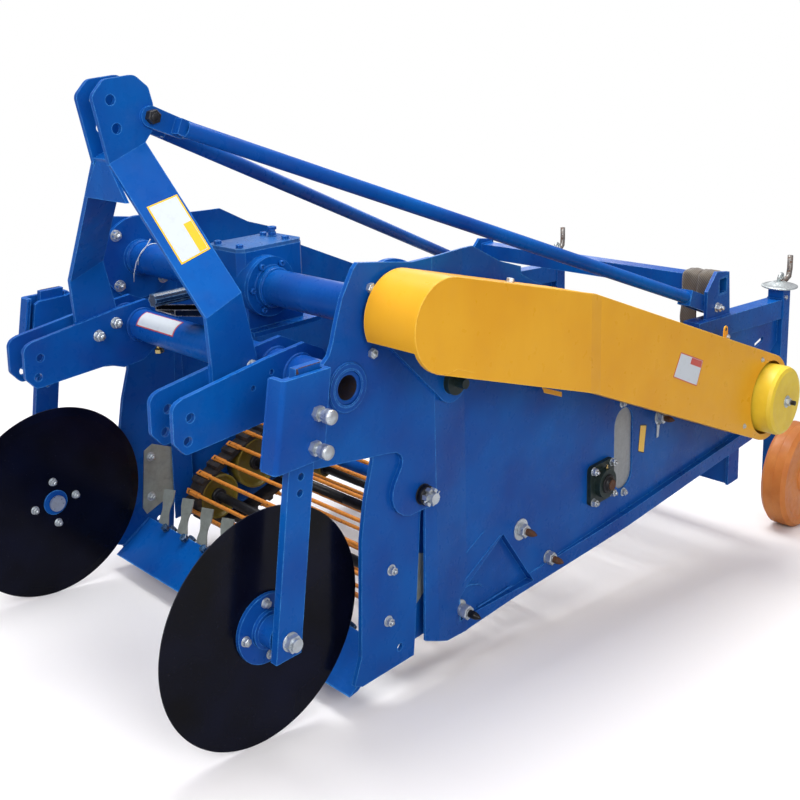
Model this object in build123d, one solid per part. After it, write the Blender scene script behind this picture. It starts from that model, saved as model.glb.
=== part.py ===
from build123d import *
import math
import os

# Single-row potato harvester for a tractor's three-point linkage: two coulter discs, a digging share,
# a rod-link elevator between two sheet walls, and two jack wheels at the rear.
# Machine frame, mm: +X is the chain guard's side, Y runs rearward from the disc axles, +Z is up.
# The machine is modelled square to its own frame and then set down on its discs and rear wheels.

# ---- driving dimensions ------------------------------------------------------------------------
weld_gap = 0.2          # fit of a tube in the plate that it is welded into
run_gap = 0.05          # radial play of a turning fit

disc_r = 280.0
disc_t = 5.0
disc_x = 487.0          # middle of each coulter disc
disc_flange_r = 82.0
disc_bolt_r = 64.0
disc_hub_r = 36.0
stub_r = 15.0           # coulter stub axle
stub_nut = 36.0         # across flats
spigot_r = 30.0         # disc hub through the disc plate
boss_in_r = 36.0        # hub boss on the disc's inner face
disc_axis = (0.0, disc_r)

plate_in = 545.0        # inner face of the side plates
plate_t = 12.0
plate_out = plate_in + plate_t
arm_w = 70.0
arm_t = 20.0
arm_lean = 8.2          # degrees, top of the disc arm rearward
arm_top = 890.0
arm_holes = (648.0, 612.0)
arm_hole_r = 8.5
pivot_axis = (455.0, 465.0)
pivot_r = 14.0
clamp_low = 678.0
clamp_high = 877.0
clamp_t = 12.0
set_bolt_r = 9.0

sheet_t = 6.0
joggle = 20.0           # how far the wall sheet steps in behind the side plate
joggle_front = 505.0
joggle_rear = 640.0
wall_out = plate_out - joggle
wall_in = wall_out - sheet_t
wall_tail = 2254.0
wall_top_slope = 23.8   # degrees, fall of the wall's top edge
rail_h = 46.0
rail_start = 850.0      # where the bottom rail begins to stand out from the wall
rail_full = 1400.0
pocket_deep = 22.0      # the pressed corner's depth at its rear edge

carrier_t = 12.0
carrier_out = plate_in
carrier_in = carrier_out - carrier_t
share_t = 12.0
share_front = (207.0, 17.0)
share_back = (333.0, 97.0)
finger_count = 10
finger_pitch = 102.0
finger_w = 38.0
waist_r = 34.0          # round cuts at the fingers' waist
waist_cut = 7.0
finger_t = 4.0
deflector_t = 3.0

lug_t = 12.0
lug_in_x = 292.0
lug_out_x = 379.0
lug_pin_r = 11.2
lug_pins = ((-94.0, 778.0), (-104.0, 727.0))
lug_bolts = ((79.0, 800.0), (134.0, 825.0))
lug_bolt_r = 6.5
lug_round = 26.0
tube_axis = (215.0, 803.0)
tube_r = 44.5
tube_wall = 5.0
tube_collar_r = 56.0

mast_t = 12.0
mast_top_x = 30.0       # inner face of each top plate
mast_foot_x = lug_in_x + lug_t
link_pins = ((-22.0, 1450.0), (-11.0, 1383.0))
link_pin_r = 12.8

axle_axis = (372.0, 942.0)
axle_r = 48.0
axle_wall = 6.0
flange_r = 128.0
flange_t = 12.0
flange_pcd = 109.0      # bolt circle radius
box_half = 75.0         # gearbox half width
box_front = 298.0
box_rear = 520.0
box_low = 830.0
box_high = 1037.0
cover_t = 10.0
boss_t = 20.0
boss_r = 80.0
pto_z = 945.0
pto_r = 17.5
pto_front = 75.0
pto_depth = 60.0
pto_boss_r = 42.0
pto_boss_l = 22.0
shield_half = 45.0
spline_count = 6
spline_depth = 2.5

stay_r = 21.2
stay_wall = 3.5
stay_pin = (78.0, 1405.0)
stay_rear = (1985.0, 628.0)
stay_lean = -23.0       # degrees, fall of the stay's front eye
eye_r = 26.0
eye_l = 98.0
lap_half = 20.0
tongue_t = 10.0
fork_w = 46.0
fork_h = 27.0           # half height of the stay's forked end
fork_lean = -21.0
fork_l = 170.0
fork_wall = 8.0

beam_s = 60.0
beam_wall = 5.0
beam_y = 2025.0
beam_z = 698.0
bracket_out = 535.0
bracket_t = 12.0
leg_x = 520.0
leg_y = 2511.0
sleeve_s = 60.0
sleeve_wall = 4.0
sleeve_low = 270.0
sleeve_high = 600.0
leg_gap = 1.0
leg_wall = 4.0
leg_high = 540.0
leg_low = -178.0
wheel_r = 201.0
wheel_in = 565.0
wheel_w = 98.0
wheel_z = -135.0
wheel_pin_r = 12.5
low_beam_y = 2165.0
low_beam_z = -29.0
low_beam_h = 102.0

rod_r = 6.0
rod_play = 36.0         # room between the rods' ends and the wall sheet
rod_half = wall_in - rod_play
rod_pad_l = 66.0        # flattened end
rod_pad_w = 17.0
rod_pad_t = 6.0
rod_pad_lift = 2.0      # room under the flat end where the belt bends inward
rod_pad_in = 20.0       # how far short of the rod's end its round part stops
rod_pitch = 70.0
belt_t = 8.0
belt_w = 62.0
belt_x = rod_half - belt_w / 2 - 3  # middle of each belt
cleat_h = 12.0
# elevator loop: (Y, Z, radius to the rods' centres, +1 inside the loop or -1 outside)
loop = (
    (540.0, 128.0, 88.0, 1),
    (607.0, 81.0, 66.0, 1),
    (999.0, 77.0, 38.0, -1),
    (2010.0, 335.0, 90.0, 1),
    (1609.0, 335.0, 85.0, 1),
    (700.0, 195.0, 100.0, 1),
)
drive_axis = loop[3][:2]
roller_shaft_r = 15.0
shafts_through = (2, 4)  # loop wheels whose shafts pass the walls
drive_shaft_r = 20.0
agitator_axis = (1262.0, 226.0)
tie_spots = ((872.0, 210.0), (1130.0, 300.0), (1800.0, 300.0))
tie_r = 21.0
tie_wall = 4.0
bearing_s = 126.0
bearing_t = 14.0
bearing_hub_r = 45.0
bearing_hub_l = 34.0

guard_in = 570.0
guard_out = 720.0
guard_t = 3.0
guard_step = 7.0        # the front part of the guard stands out this much more
guard_fold = (930.0, 985.0)
lobe_axis = (562.0, 733.0)
lobe_r = 56.0
bracket_plate_t = 10.0
neck_r = 70.0
idler_r = 34.0
strap_x = (400.0, 465.0)
strap_t = 9.0
strap_drop = 70.0
guard_front_r = 110.0
guard_rear_r = 148.0
guard_kink_top = (955.0, 901.0)
guard_kink_low = (962.0, 628.0)
guard_hole_r = 128.0
cap_r = 118.0
cap_t = 4.0
cap_round = 16.0
cap_sunk = 16.0         # how far the cap reaches into the guard's hole
cap_l = 80.0
cap_in = guard_out - cap_sunk
cap_out = cap_in + cap_l
stud_r = 8.0
beyond = 3000.0         # reach of the planes that trim plates

# ---- helpers -----------------------------------------------------------------------------------


def prism(outline, x_from, x_to):
    """Plate: a (Y, Z) outline carried along X."""
    face = make_face(Polyline(*[(x_from, y, z) for y, z in outline], close=True))
    return extrude(face, amount=x_to - x_from, dir=(1, 0, 0))


def soft_plate(outline, x_from, x_to, soft):
    """Plate whose listed corners are rounded; soft maps a corner's number to its radius."""
    face = make_face(Polyline(*[(x_from, y, z) for y, z in outline], close=True))
    for number, radius in soft.items():
        corner = face.vertices().sort_by_distance((x_from, *outline[number]))[0]
        face = fillet(corner, radius)
    return extrude(face, amount=x_to - x_from, dir=(1, 0, 0))


def bar_x(axis, radius, x_from, x_to):
    """Round bar along X about a (Y, Z) axis."""
    plane = Plane(origin=(x_from, axis[0], axis[1]), x_dir=(0, 1, 0), z_dir=(1, 0, 0))
    return extrude(plane * Circle(radius), amount=x_to - x_from)


def block(x_from, x_to, y_from, y_to, z_from, z_to):
    """Box between six planes."""
    centre = ((x_from + x_to) / 2, (y_from + y_to) / 2, (z_from + z_to) / 2)
    return Pos(*centre) * Box(x_to - x_from, y_to - y_from, z_to - z_from)


def hex_x(axis, across, x_from, x_to):
    """Hexagon bar along X: a nut or a bolt head."""
    plane = Plane(origin=(x_from, axis[0], axis[1]), x_dir=(0, 1, 0), z_dir=(1, 0, 0))
    return extrude(plane * RegularPolygon(across / math.sqrt(3), 6), amount=x_to - x_from)


def tube_between(start, end, radius, wall):
    """Round tube between two points."""
    way = Vector(*end) - Vector(*start)
    plane = Plane(origin=start, z_dir=way)
    return extrude(plane * Circle(radius) - plane * Circle(radius - wall), amount=way.length)


def flip(piece):
    """The right-hand copy of a left-hand piece."""
    return mirror(piece, about=Plane.YZ)


def along(start, angle, reach, side=0.0):
    """Point at a reach along a direction in the (Y, Z) plane, and a distance to its left."""
    turn = math.radians(angle)
    return (
        start[0] + reach * math.cos(turn) - side * math.sin(turn),
        start[1] + reach * math.sin(turn) + side * math.cos(turn),
    )


def tangent(centre, radius, point, side):
    """Where the line from a point touches a circle; side is +1 for the circle's upper touch."""
    dy, dz = point[0] - centre[0], point[1] - centre[1]
    turn = math.atan2(dz, dy) + side * math.acos(radius / math.hypot(dy, dz))
    return (centre[0] + radius * math.cos(turn), centre[1] + radius * math.sin(turn))


nodes = {}

# ---- coulter discs and their arms --------------------------------------------------------------
# the arm's middle line runs through the disc axle


def arm_line(z):
    """Y of the disc arm's middle line at a height."""
    return disc_axis[0] + (z - disc_axis[1]) * math.tan(math.radians(arm_lean))


arm_half = arm_w / 2 / math.cos(math.radians(arm_lean))
arm_low = disc_axis[1] - arm_w / 2 - 5
arm_outer = plate_out + arm_t


def disc_arm():
    """Flat bar that hangs from the clamp and holds the stub axle."""
    outline = [
        (arm_line(arm_low) - arm_half, arm_low),
        (arm_line(arm_low) + arm_half, arm_low),
        (arm_line(arm_top) + arm_half, arm_top),
        (arm_line(arm_top) - arm_half, arm_top),
    ]
    piece = prism(outline, plate_out, arm_outer)
    piece -= bar_x(disc_axis, stub_r + weld_gap, plate_out - 1, arm_outer + 1)
    for z in arm_holes:
        piece -= bar_x((arm_line(z), z), arm_hole_r, plate_out - 1, arm_outer + 1)
    return piece


def stub_axle():
    """Turned stub axle with its nut outside the arm and its end collar inside the disc."""
    collar = disc_x - disc_t / 2 - 18
    piece = bar_x(disc_axis, stub_r, collar, arm_outer + 26)
    piece += hex_x(disc_axis, stub_nut, arm_outer, arm_outer + 18)
    return piece + bar_x(disc_axis, stub_r + 8, collar, collar + 8)


def coulter():
    """Disc plate, ground thin towards its rim on the inner side."""
    inner, outer = disc_x - disc_t / 2, disc_x + disc_t / 2
    bore = spigot_r + weld_gap
    profile = [(inner, bore), (outer, bore), (outer, disc_r), (outer - 1.5, disc_r), (inner, disc_r - 26)]
    face = make_face(Polyline(*[(x, disc_axis[0], disc_axis[1] + r) for x, r in profile], close=True))
    return revolve(face, axis=Axis((0, *disc_axis), (1, 0, 0)))


def disc_hub():
    """Bolted flange, turned neck and the spigot that carries the disc plate."""
    inner, outer = disc_x - disc_t / 2, disc_x + disc_t / 2
    piece = bar_x(disc_axis, disc_flange_r, outer, outer + 10)
    piece += bar_x(disc_axis, disc_hub_r + 9, outer + 10, outer + 20)
    piece += bar_x(disc_axis, disc_hub_r, outer + 20, plate_out - 6)
    piece += bar_x(disc_axis, spigot_r, inner - 4, outer)
    piece += bar_x(disc_axis, boss_in_r, inner - 4, inner)
    return piece - bar_x(disc_axis, stub_r + run_gap, inner - 5, plate_out)


# ---- side plates with the welded arm clamp -----------------------------------------------------
side_outline = [
    (248, 1070), (262, 1082), (348, 1069), (437, 1054), (joggle_front, 1054), (joggle_front, 423),
    (408, 424), (386, 432), (367, 446), (355, 464), (350, 484), (352, 504), (360, 523), (373, 542),
    (384, 558), (388, 574), (383, 589), (369, 600), (340, 607), (289, 614), (113, 641),
    (18, 665), (-6, 677), (27, 858), (41, 865), (124, 866), (148, 873), (166, 888), (178, 915),
    (192, 960), (212, 1012),
]
set_bolts = ((94.0, 786.0), (80.0, 711.0))
clamp_in = arm_outer + 4
clamp_out = clamp_in + clamp_t


def clamp():
    """Bent plate round the front strip of the side plate; two set bolts press on the arm."""
    low, high = clamp_low, clamp_high
    front = (-30.0, 5.0)
    rear = (arm_line(low) + arm_half + 16, arm_line(high) + arm_half + 16)
    outer = prism([(front[0], low), (rear[0], low), (rear[1], high), (front[1], high)], clamp_in, clamp_out)
    nose = prism(
        [(front[0], low), (front[0] + clamp_t, low), (front[1] + clamp_t, high), (front[1], high)],
        plate_in, clamp_out,
    )
    lean = math.degrees(math.atan2(front[1] - front[0], high - low))
    bend = block(clamp_out - clamp_t, clamp_out + 1, -1, clamp_t, -40, high - low + 40)
    bend -= Pos(clamp_out - clamp_t, clamp_t, (high - low) / 2) * Cylinder(clamp_t, 2 * (high - low) + 200)
    bend = Pos(0, front[0], low) * Rot(-lean, 0, 0) * bend
    heel = prism(
        [(rear[0] - clamp_t, low), (rear[0], low), (rear[1], high), (rear[1] - clamp_t, high)],
        plate_out, clamp_out,
    )
    piece = outer + nose + heel - bend
    for spot in set_bolts:
        piece -= bar_x(spot, set_bolt_r + weld_gap, clamp_in - 1, clamp_out + 1)
    return piece


def set_bolt(spot):
    """Square-ended bolt that presses on the arm, with its lock nut and head."""
    piece = bar_x(spot, set_bolt_r, arm_outer, clamp_out + 24) + hex_x(spot, 30, clamp_out, clamp_out + 13)
    return piece + hex_x(spot, 28, clamp_out + 24, clamp_out + 38)


def side_plate():
    """Thick front plate that carries the hitch tube, the axle tube and the disc arm."""
    piece = prism(side_outline, plate_in, plate_out) + clamp()
    piece += bar_x(tube_axis, tube_collar_r, plate_out, plate_out + 6)
    piece -= bar_x(tube_axis, tube_r + weld_gap, plate_in - 1, plate_out + 7)
    piece -= bar_x(axle_axis, 45, plate_in - 1, plate_out + 1)
    return piece - bar_x(pivot_axis, pivot_r + weld_gap, plate_in - 1, plate_out + 1)


def pivot_stud():
    """Threaded stud at the side plate's lower lobe."""
    return bar_x(pivot_axis, pivot_r, plate_in, plate_out + 44)


# ---- side walls --------------------------------------------------------------------------------
wall_peak = (680.0, 1052.0)
wall_step = (879.0, 965.0)
wall_dip = (936.0, 914.0)


def wall_top(y):
    """Height of the wall's sloping top edge behind the step."""
    return wall_dip[1] - (y - wall_dip[0]) * math.tan(math.radians(wall_top_slope))


wall_low = [(452, 65), (543, 22), (631, 5), (1262, 26), (wall_tail, 69)]
wall_outline = wall_low + [
    (wall_tail, wall_top(wall_tail)), wall_dip, (wall_step[0], wall_step[1] - 21), wall_step,
    (790, 994), wall_peak, (joggle_front + weld_gap, 1054), (joggle_front + weld_gap, 422), (462, 422),
]
pocket = [(500, 52), (795, 224), (930, 30)]
slot_centre = (1398.0, 290.0)
slot_w = 104.0
slot_h = 268.0
cover_lap = 14.0
window_t = 3.0


def wall_band(x_shift, width):
    """Upright band in plan that follows the wall's joggle."""
    a, b = plate_out - x_shift, wall_out - x_shift
    front, tail = 400.0, wall_tail + 10
    points = [
        (a, front), (a, joggle_front), (b, joggle_rear), (b, tail),
        (b - width, tail), (b - width, joggle_rear), (a - width, joggle_front), (a - width, front),
    ]
    face = make_face(Polyline(*[(x, y, -20) for x, y in points], close=True))
    return extrude(face, amount=1150, dir=(0, 0, 1))


def wall_slot(x_from, x_to, grow=0.0):
    """Upright oval window's body."""
    r = slot_w / 2 + grow
    half = slot_h / 2 - slot_w / 2
    y, z = slot_centre
    piece = block(x_from, x_to, y - r, y + r, z - half, z + half)
    return piece + bar_x((y, z - half), r, x_from, x_to) + bar_x((y, z + half), r, x_from, x_to)


def wall_foot(y):
    """Height of the wall's bottom edge."""
    for (y0, z0), (y1, z1) in zip(wall_low, wall_low[1:]):
        if y <= y1:
            return z0 + (z1 - z0) * (y - y0) / (y1 - y0)
    return wall_low[-1][1]


def rail():
    """Bottom rail: the wall's edge folded outward, rising from nothing to the joggle's depth."""
    stops = [rail_start, wall_low[3][0], wall_tail]
    foot = [(y, wall_foot(y)) for y in stops]
    crest = [(y, wall_foot(y) + rail_h) for y in reversed(stops)]
    ledge = [(y, z - sheet_t) for y, z in reversed(crest)]
    tail = wall_tail + 10
    skin = [(wall_out, rail_start), (plate_out, rail_full), (plate_out, tail), (plate_out - sheet_t, tail),
            (plate_out - sheet_t, rail_full), (wall_out - sheet_t, rail_start)]
    core = [(wall_out - 1, rail_start), (wall_out, rail_start), (plate_out, rail_full), (plate_out, tail),
            (wall_out - 1, tail)]
    plans = [extrude(make_face(Polyline(*[(x, y, -20) for x, y in plan], close=True)), amount=300, dir=(0, 0, 1))
             for plan in (skin, core)]
    lip = prism(foot + crest, wall_in, plate_out + 1) & plans[0]
    shelf = prism(ledge + crest, wall_in, plate_out + 1) & plans[1]
    return lip + shelf


def pressing(shift):
    """Space outside the pressed corner's sloping floor, shifted inward."""
    (y0, z0), (y1, z1), (y2, z2) = pocket
    run = math.hypot(y2 - y1, z2 - z1)
    away = ((z1 - z2) / run, (y2 - y1) / run)
    reach = (y1 - y0) * away[0] + (z1 - z0) * away[1]
    fall = pocket_deep / reach
    floor = Plane(origin=(wall_out - shift, y0, z0), z_dir=(1, away[0] * fall, away[1] * fall))
    return extrude(floor * Rectangle(beyond, beyond), amount=200)


def side_wall():
    """Joggled sheet with its bottom rail, oval window and the pressed-in lower corner."""
    piece = prism(wall_outline, wall_in - 10, plate_out + 10) & wall_band(0, sheet_t)
    piece += rail()
    deep = wall_out - pocket_deep
    mouth = prism(pocket, deep - 1, wall_out + 5) & pressing(0)
    rim = offset(make_face(Polyline(*[(0, y, z) for y, z in pocket], close=True)), amount=sheet_t,
                 kind=Kind.INTERSECTION)
    pan = extrude(Pos(deep - sheet_t, 0, 0) * rim, amount=pocket_deep, dir=(1, 0, 0)) & pressing(sheet_t)
    piece = piece + pan - mouth
    piece -= wall_slot(wall_in - 5, plate_out + 5)
    piece -= bar_x(drive_axis, 42, wall_in - 5, plate_out + 5)
    piece -= bar_x(agitator_axis, 42, wall_in - 5, plate_out + 5)
    for k in shafts_through:
        piece -= bar_x(loop[k][:2], roller_shaft_r + weld_gap, wall_in - 40, plate_out + 5)
    return piece


def window_cover():
    """Zinc sheet that closes the wall's oval window from inside."""
    y, z = slot_centre
    half_w, half_h = slot_w / 2 + cover_lap, slot_h / 2 + cover_lap + 16
    outline = [(y - half_w, z - half_h), (y + half_w, z - half_h), (y + half_w, z + half_h), (y - half_w, z + half_h)]
    return soft_plate(outline, wall_in - window_t, wall_in, {k: 14 for k in range(4)})


# ---- share, its carriers, lifting fingers and deflectors ---------------------------------------
carrier_outline = [
    (310, 690), (300, 597), (273, 508), (255, 411), (241, 112), (215, 47), (240, 35), (421, 35),
    (427, 85), (458, 418), (470, 600), (470, 690),
]
deflector_outline = [(332, 323), (363, 337), (435, 305), (500, 280), (500, 200), (438, 155), (325, 112), (312, 137)]
share_angle = math.degrees(math.atan2(share_back[1] - share_front[1], share_back[0] - share_front[0]))
share_len = math.hypot(share_back[1] - share_front[1], share_back[0] - share_front[0])


def share_blade():
    """Ploughshare: a sloping plate with a ground edge, between the carriers."""
    outline = [
        share_front,
        along(share_front, share_angle, 26, -share_t),
        along(share_front, share_angle, share_len, -share_t),
        share_back,
    ]
    return prism(outline, -carrier_in, carrier_in)


def carrier():
    """Plate that carries the share's end, with its spare bolt hole."""
    return prism(carrier_outline, carrier_in, carrier_out) - bar_x((372.0, 80.0), 10, carrier_in - 1, carrier_out + 1)


def fingers():
    """Row of sprung plates that lift the crop from the share onto the elevator."""
    foot = along(share_front, share_angle, share_len - 42)
    heel = along(share_front, share_angle, share_len - 6)
    tip = (372.0, 205.0)
    lift = math.degrees(math.atan2(tip[1] - heel[1], tip[0] - heel[0]))
    reach = math.hypot(tip[1] - heel[1], tip[0] - heel[0])
    outline = [
        foot, heel, along(heel, lift, reach), along(heel, lift, reach, finger_t),
        along(heel, lift, finger_t, finger_t), along(foot, share_angle, 0, finger_t),
    ]
    waist = along(heel, lift, reach * 0.42)
    neck = along(heel, lift, reach * 0.42, finger_t)
    solids = []
    for k in range(finger_count):
        x = (k - (finger_count - 1) / 2) * finger_pitch
        blade = prism(outline, x - finger_w / 2, x + finger_w / 2)
        for side in (-1, 1):
            edge = x + side * (finger_w / 2 + waist_r - waist_cut)
            plane = Plane(origin=(edge, *waist), z_dir=(0, neck[0] - waist[0], neck[1] - waist[1]))
            blade -= extrude(plane * Circle(waist_r), amount=30, both=True)
        crop = Plane(origin=(x, *along(heel, lift, reach)), z_dir=(0, neck[0] - waist[0], neck[1] - waist[1]))
        corner = Polyline((-30, -1, 0), (30, -1, 0), (30, 13, 0), close=True)
        solids.append(blade - extrude(crop * make_face(corner), amount=30, both=True))
    return solids


# ---- hitch tube, lugs and mast -----------------------------------------------------------------
lug_outline = [
    (-138, 815), (-140, 730), (-112, 697), (100, 711), (150, 693), (215, 700), (305, 765), (305, 840),
    (237, 873), (132, 862), (-111, 825),
]


def lug(x_from):
    """One linkage lug plate."""
    piece = soft_plate(lug_outline, x_from, x_from + lug_t, {0: lug_round, 1: 16, 2: 16, 6: 30, 7: 30})
    piece -= bar_x(tube_axis, tube_r + weld_gap, x_from - 1, x_from + lug_t + 1)
    for pin in lug_pins:
        piece -= bar_x(pin, lug_pin_r, x_from - 1, x_from + lug_t + 1)
    for spot in lug_bolts:
        piece -= bar_x(spot, lug_bolt_r, x_from - 1, x_from + lug_t + 1)
    return piece


# the two bends of a mast bar run parallel, so that the shank between them is flat
mast_bend = (102.0, 42.0)
mast_bend_low = ((15.0, 964.0), (15.0 + mast_bend[0], 964.0 + mast_bend[1]))
mast_bend_high = ((-38.0, 1303.0), (-38.0 + mast_bend[0], 1303.0 + mast_bend[1]))
mast_top_outline = [
    mast_bend_high[0], (-70, 1461), (-36, 1498), (45, 1506), (82, 1475), (92, 1435), (92, 1380), mast_bend_high[1],
]


def mast_faces():
    """The shank's outer corners, and a point of its inner face with the outward normal."""
    foot_out = mast_foot_x + mast_t
    top_out = mast_top_x + mast_t
    corners = [
        Vector(foot_out, *mast_bend_low[0]), Vector(foot_out, *mast_bend_low[1]),
        Vector(top_out, *mast_bend_high[1]), Vector(top_out, *mast_bend_high[0]),
    ]
    outward = (corners[1] - corners[0]).cross(corners[3] - corners[0]).normalized()
    if outward.X < 0:
        outward = outward * -1
    return corners, (corners[0] - outward * mast_t, outward)


def mast_bar():
    """Flat bar bent twice: foot between the lugs, sloping shank, upright top plate."""
    foot_out = mast_foot_x + mast_t
    top_out = mast_top_x + mast_t
    foot = prism(
        [(22, 760), (150, 760), (150, 850), mast_bend_low[1], mast_bend_low[0], (22, 850)], mast_foot_x, foot_out)
    top = soft_plate(mast_top_outline, mast_top_x, top_out, {1: 22, 2: 26, 3: 26, 4: 18, 5: 18})
    corners, (_, inward) = mast_faces()
    shank = extrude(make_face(Polyline(*corners, close=True)), amount=-mast_t, dir=inward)
    lap = 5.0
    drop = prism(
        [mast_bend_high[0], mast_bend_high[1], (mast_bend_high[1][0], mast_bend_high[1][1] - lap),
         (mast_bend_high[0][0], mast_bend_high[0][1] - lap)], mast_top_x, top_out)
    piece = foot + shank + top + drop
    for pin in link_pins:
        piece -= bar_x(pin, link_pin_r, mast_top_x - 1, top_out + 1)
    return piece


def mast_tie():
    """Folded plate between the two mast bars: a shelf under the top plates and an apron below it."""
    lean = math.degrees(math.atan2(mast_bend[1], mast_bend[0]))
    corner = along(mast_bend_high[0], lean, 4, 1)
    shelf = prism(
        [corner, along(corner, lean, 84), along(corner, lean, 84, 8), along(corner, lean, 0, 8)],
        -mast_top_x, mast_top_x)
    apron = block(-150, 150, corner[0], corner[0] + 8, corner[1] - 92, corner[1] + 4)
    top_in = mast_top_x
    inner = mast_faces()[1]
    cutter = Plane(origin=inner[0], z_dir=inner[1]) * Rectangle(beyond, beyond)
    outside = extrude(cutter, amount=900)
    apron = apron - outside - flip(outside)
    apron -= block(-150, -top_in, -200, 200, corner[1] - 9, corner[1] + 40)
    apron -= block(top_in, 150, -200, 200, corner[1] - 9, corner[1] + 40)
    return shelf + apron


# ---- gearbox, power input and axle tubes -------------------------------------------------------


def gearbox():
    """Cast bevel box with its side bosses and input boss."""
    body = block(-box_half, box_half, box_front, box_rear, box_low, box_high)
    body = chamfer(body.edges().filter_by(Axis.Z), 18)
    foot = block(-box_half - 35, box_half + 35, box_front + 6, box_rear + 20, box_low - 14, box_low)
    side = bar_x(axle_axis, boss_r, -box_half - boss_t, box_half + boss_t)
    snout = Plane(origin=(0, box_front - pto_boss_l, pto_z), z_dir=(0, 1, 0)) * Circle(pto_boss_r)
    snout = extrude(snout, amount=pto_boss_l)
    bore = Plane(origin=(0, box_front - pto_boss_l - 1, pto_z), z_dir=(0, 1, 0)) * Circle(pto_r + run_gap)
    return body + foot + side + snout - extrude(bore, amount=pto_boss_l + pto_depth + 2)


def gearbox_cover():
    """Machined top cover with a breather."""
    piece = block(-box_half + 2, box_half - 2, box_front + 2, box_rear - 2, box_high, box_high + cover_t)
    piece = chamfer(piece.edges().filter_by(Axis.Z), 16)
    return piece + Pos(-18, box_rear - 38, box_high + cover_t + 9) * Cylinder(9, 18)


def pto_shaft():
    """Splined input shaft."""
    plain = pto_boss_l + pto_depth
    rear = box_front + pto_depth
    length = rear - pto_front
    plane = Plane(origin=(0, pto_front, pto_z), z_dir=(0, 1, 0))
    piece = extrude(plane * Circle(pto_r), amount=length)
    reach = length - plain - 20
    for k in range(spline_count):
        groove = Location((0, 0, 0), (0, 0, k * 360 / spline_count)) * Pos(pto_r, 0, 0) * Rectangle(2 * spline_depth, 8)
        piece -= extrude(plane * groove, amount=reach)
    return piece


def pto_shield():
    """Sloping zinc tray under the input shaft, held on the gearbox."""
    front, low = (110.0, 905.0), (box_front, 862.0)
    tray = prism([front, low, (low[0], low[1] + 3), (front[0], front[1] + 3)], -shield_half, shield_half)
    for side in (-1, 1):
        x0, x1 = sorted((side * shield_half, side * (shield_half - 3)))
        tray += prism([front, low, (low[0], low[1] + 22), (front[0], front[1] + 16)], x0, x1)
    return tray


def axle_tube():
    """Tube from the gearbox boss to the bolted end flange on the side plate."""
    near = box_half + boss_t
    piece = bar_x(axle_axis, axle_r, near + 12, plate_in - flange_t)
    piece += bar_x(axle_axis, boss_r, near, near + 12)
    piece += bar_x(axle_axis, axle_r + 7, near + 12, near + 30)
    piece += bar_x(axle_axis, flange_r, plate_in - flange_t, plate_in)
    piece += bar_x(axle_axis, axle_r + 7, plate_in - flange_t - 16, plate_in - flange_t)
    piece -= bar_x(axle_axis, axle_r - axle_wall, near - 1, plate_in + 1)
    for k in range(4):
        spot = along(axle_axis, 45 + 90 * k, flange_pcd)
        piece += hex_x(spot, 24, plate_in - flange_t - 12, plate_in - flange_t)
    return piece


# ---- stays -------------------------------------------------------------------------------------
stay_front_x = mast_top_x + mast_t + 13


def stay():
    """Tube from the mast top back to a forked end on the rear bracket."""
    front = (stay_front_x + 14, stay_pin[0] + 84, stay_pin[1] - 36)
    inner = bracket_out - bracket_t
    rear = (inner - fork_w / 2, *along(stay_rear, fork_lean, 4 - fork_l))
    tube = tube_between(front, rear, stay_r, stay_wall)
    tongue_in = mast_top_x + mast_t
    eye = [along(stay_pin, stay_lean, 0, s) for s in (eye_r, -eye_r)]
    eye += [along(stay_pin, stay_lean, eye_l, s) for s in (2 - eye_r, eye_r - 2)]
    tongue = prism(eye, tongue_in, tongue_in + tongue_t) + bar_x(stay_pin, eye_r, tongue_in, tongue_in + tongue_t)
    lap = prism(
        [along(stay_pin, stay_lean, reach, side) for reach, side in (
            (eye_l - 32, -lap_half), (eye_l - 32, lap_half), (eye_l + 12, lap_half), (eye_l + 12, -lap_half))],
        tongue_in, stay_front_x + 24)
    back = [along(stay_rear, fork_lean, reach, side) for reach, side in (
        (-fork_l, -fork_h), (-fork_l, fork_h), (15, fork_h), (15, -fork_h))]
    fork = prism(back, inner - fork_w, inner)
    hollow = [along(stay_rear, fork_lean, reach, side) for reach, side in (
        (12 - fork_l, -60), (12 - fork_l, fork_h - fork_wall), (80, fork_h - fork_wall), (80, -60))]
    fork -= prism(hollow, inner - fork_w + fork_wall, inner - fork_wall)
    bolt = bar_x(stay_rear, 9, inner - fork_w - 8, inner)
    head = bar_x(stay_pin, 15, tongue_in + tongue_t, tongue_in + tongue_t + 18)
    return tube + tongue + lap + fork + bolt + head


# ---- rear beam, jack arms, legs and wheels -----------------------------------------------------
arm_front_y = 1840.0
gusset_t = 10.0
arm_crown = 589.4       # top of the arm under the beam
arm_fall = 0.065        # drop of the arm's top per unit of length
arm_h = 66.0
bracket_reach = 110.0   # how far the bracket plate runs ahead of the beam's middle, and behind it
bracket_heel = 56.0
gusset_low = ((arm_front_y, 300.0), (2120.0, 230.0), (wall_tail, 260.0), (leg_y - sleeve_s / 2, 392.0))
gusset_slot = ((2297.0, 405.0), (2366.0, 420.0), (2366.0, 440.0), (2297.0, 425.0))
sleeve_half = sleeve_s / 2


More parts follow.
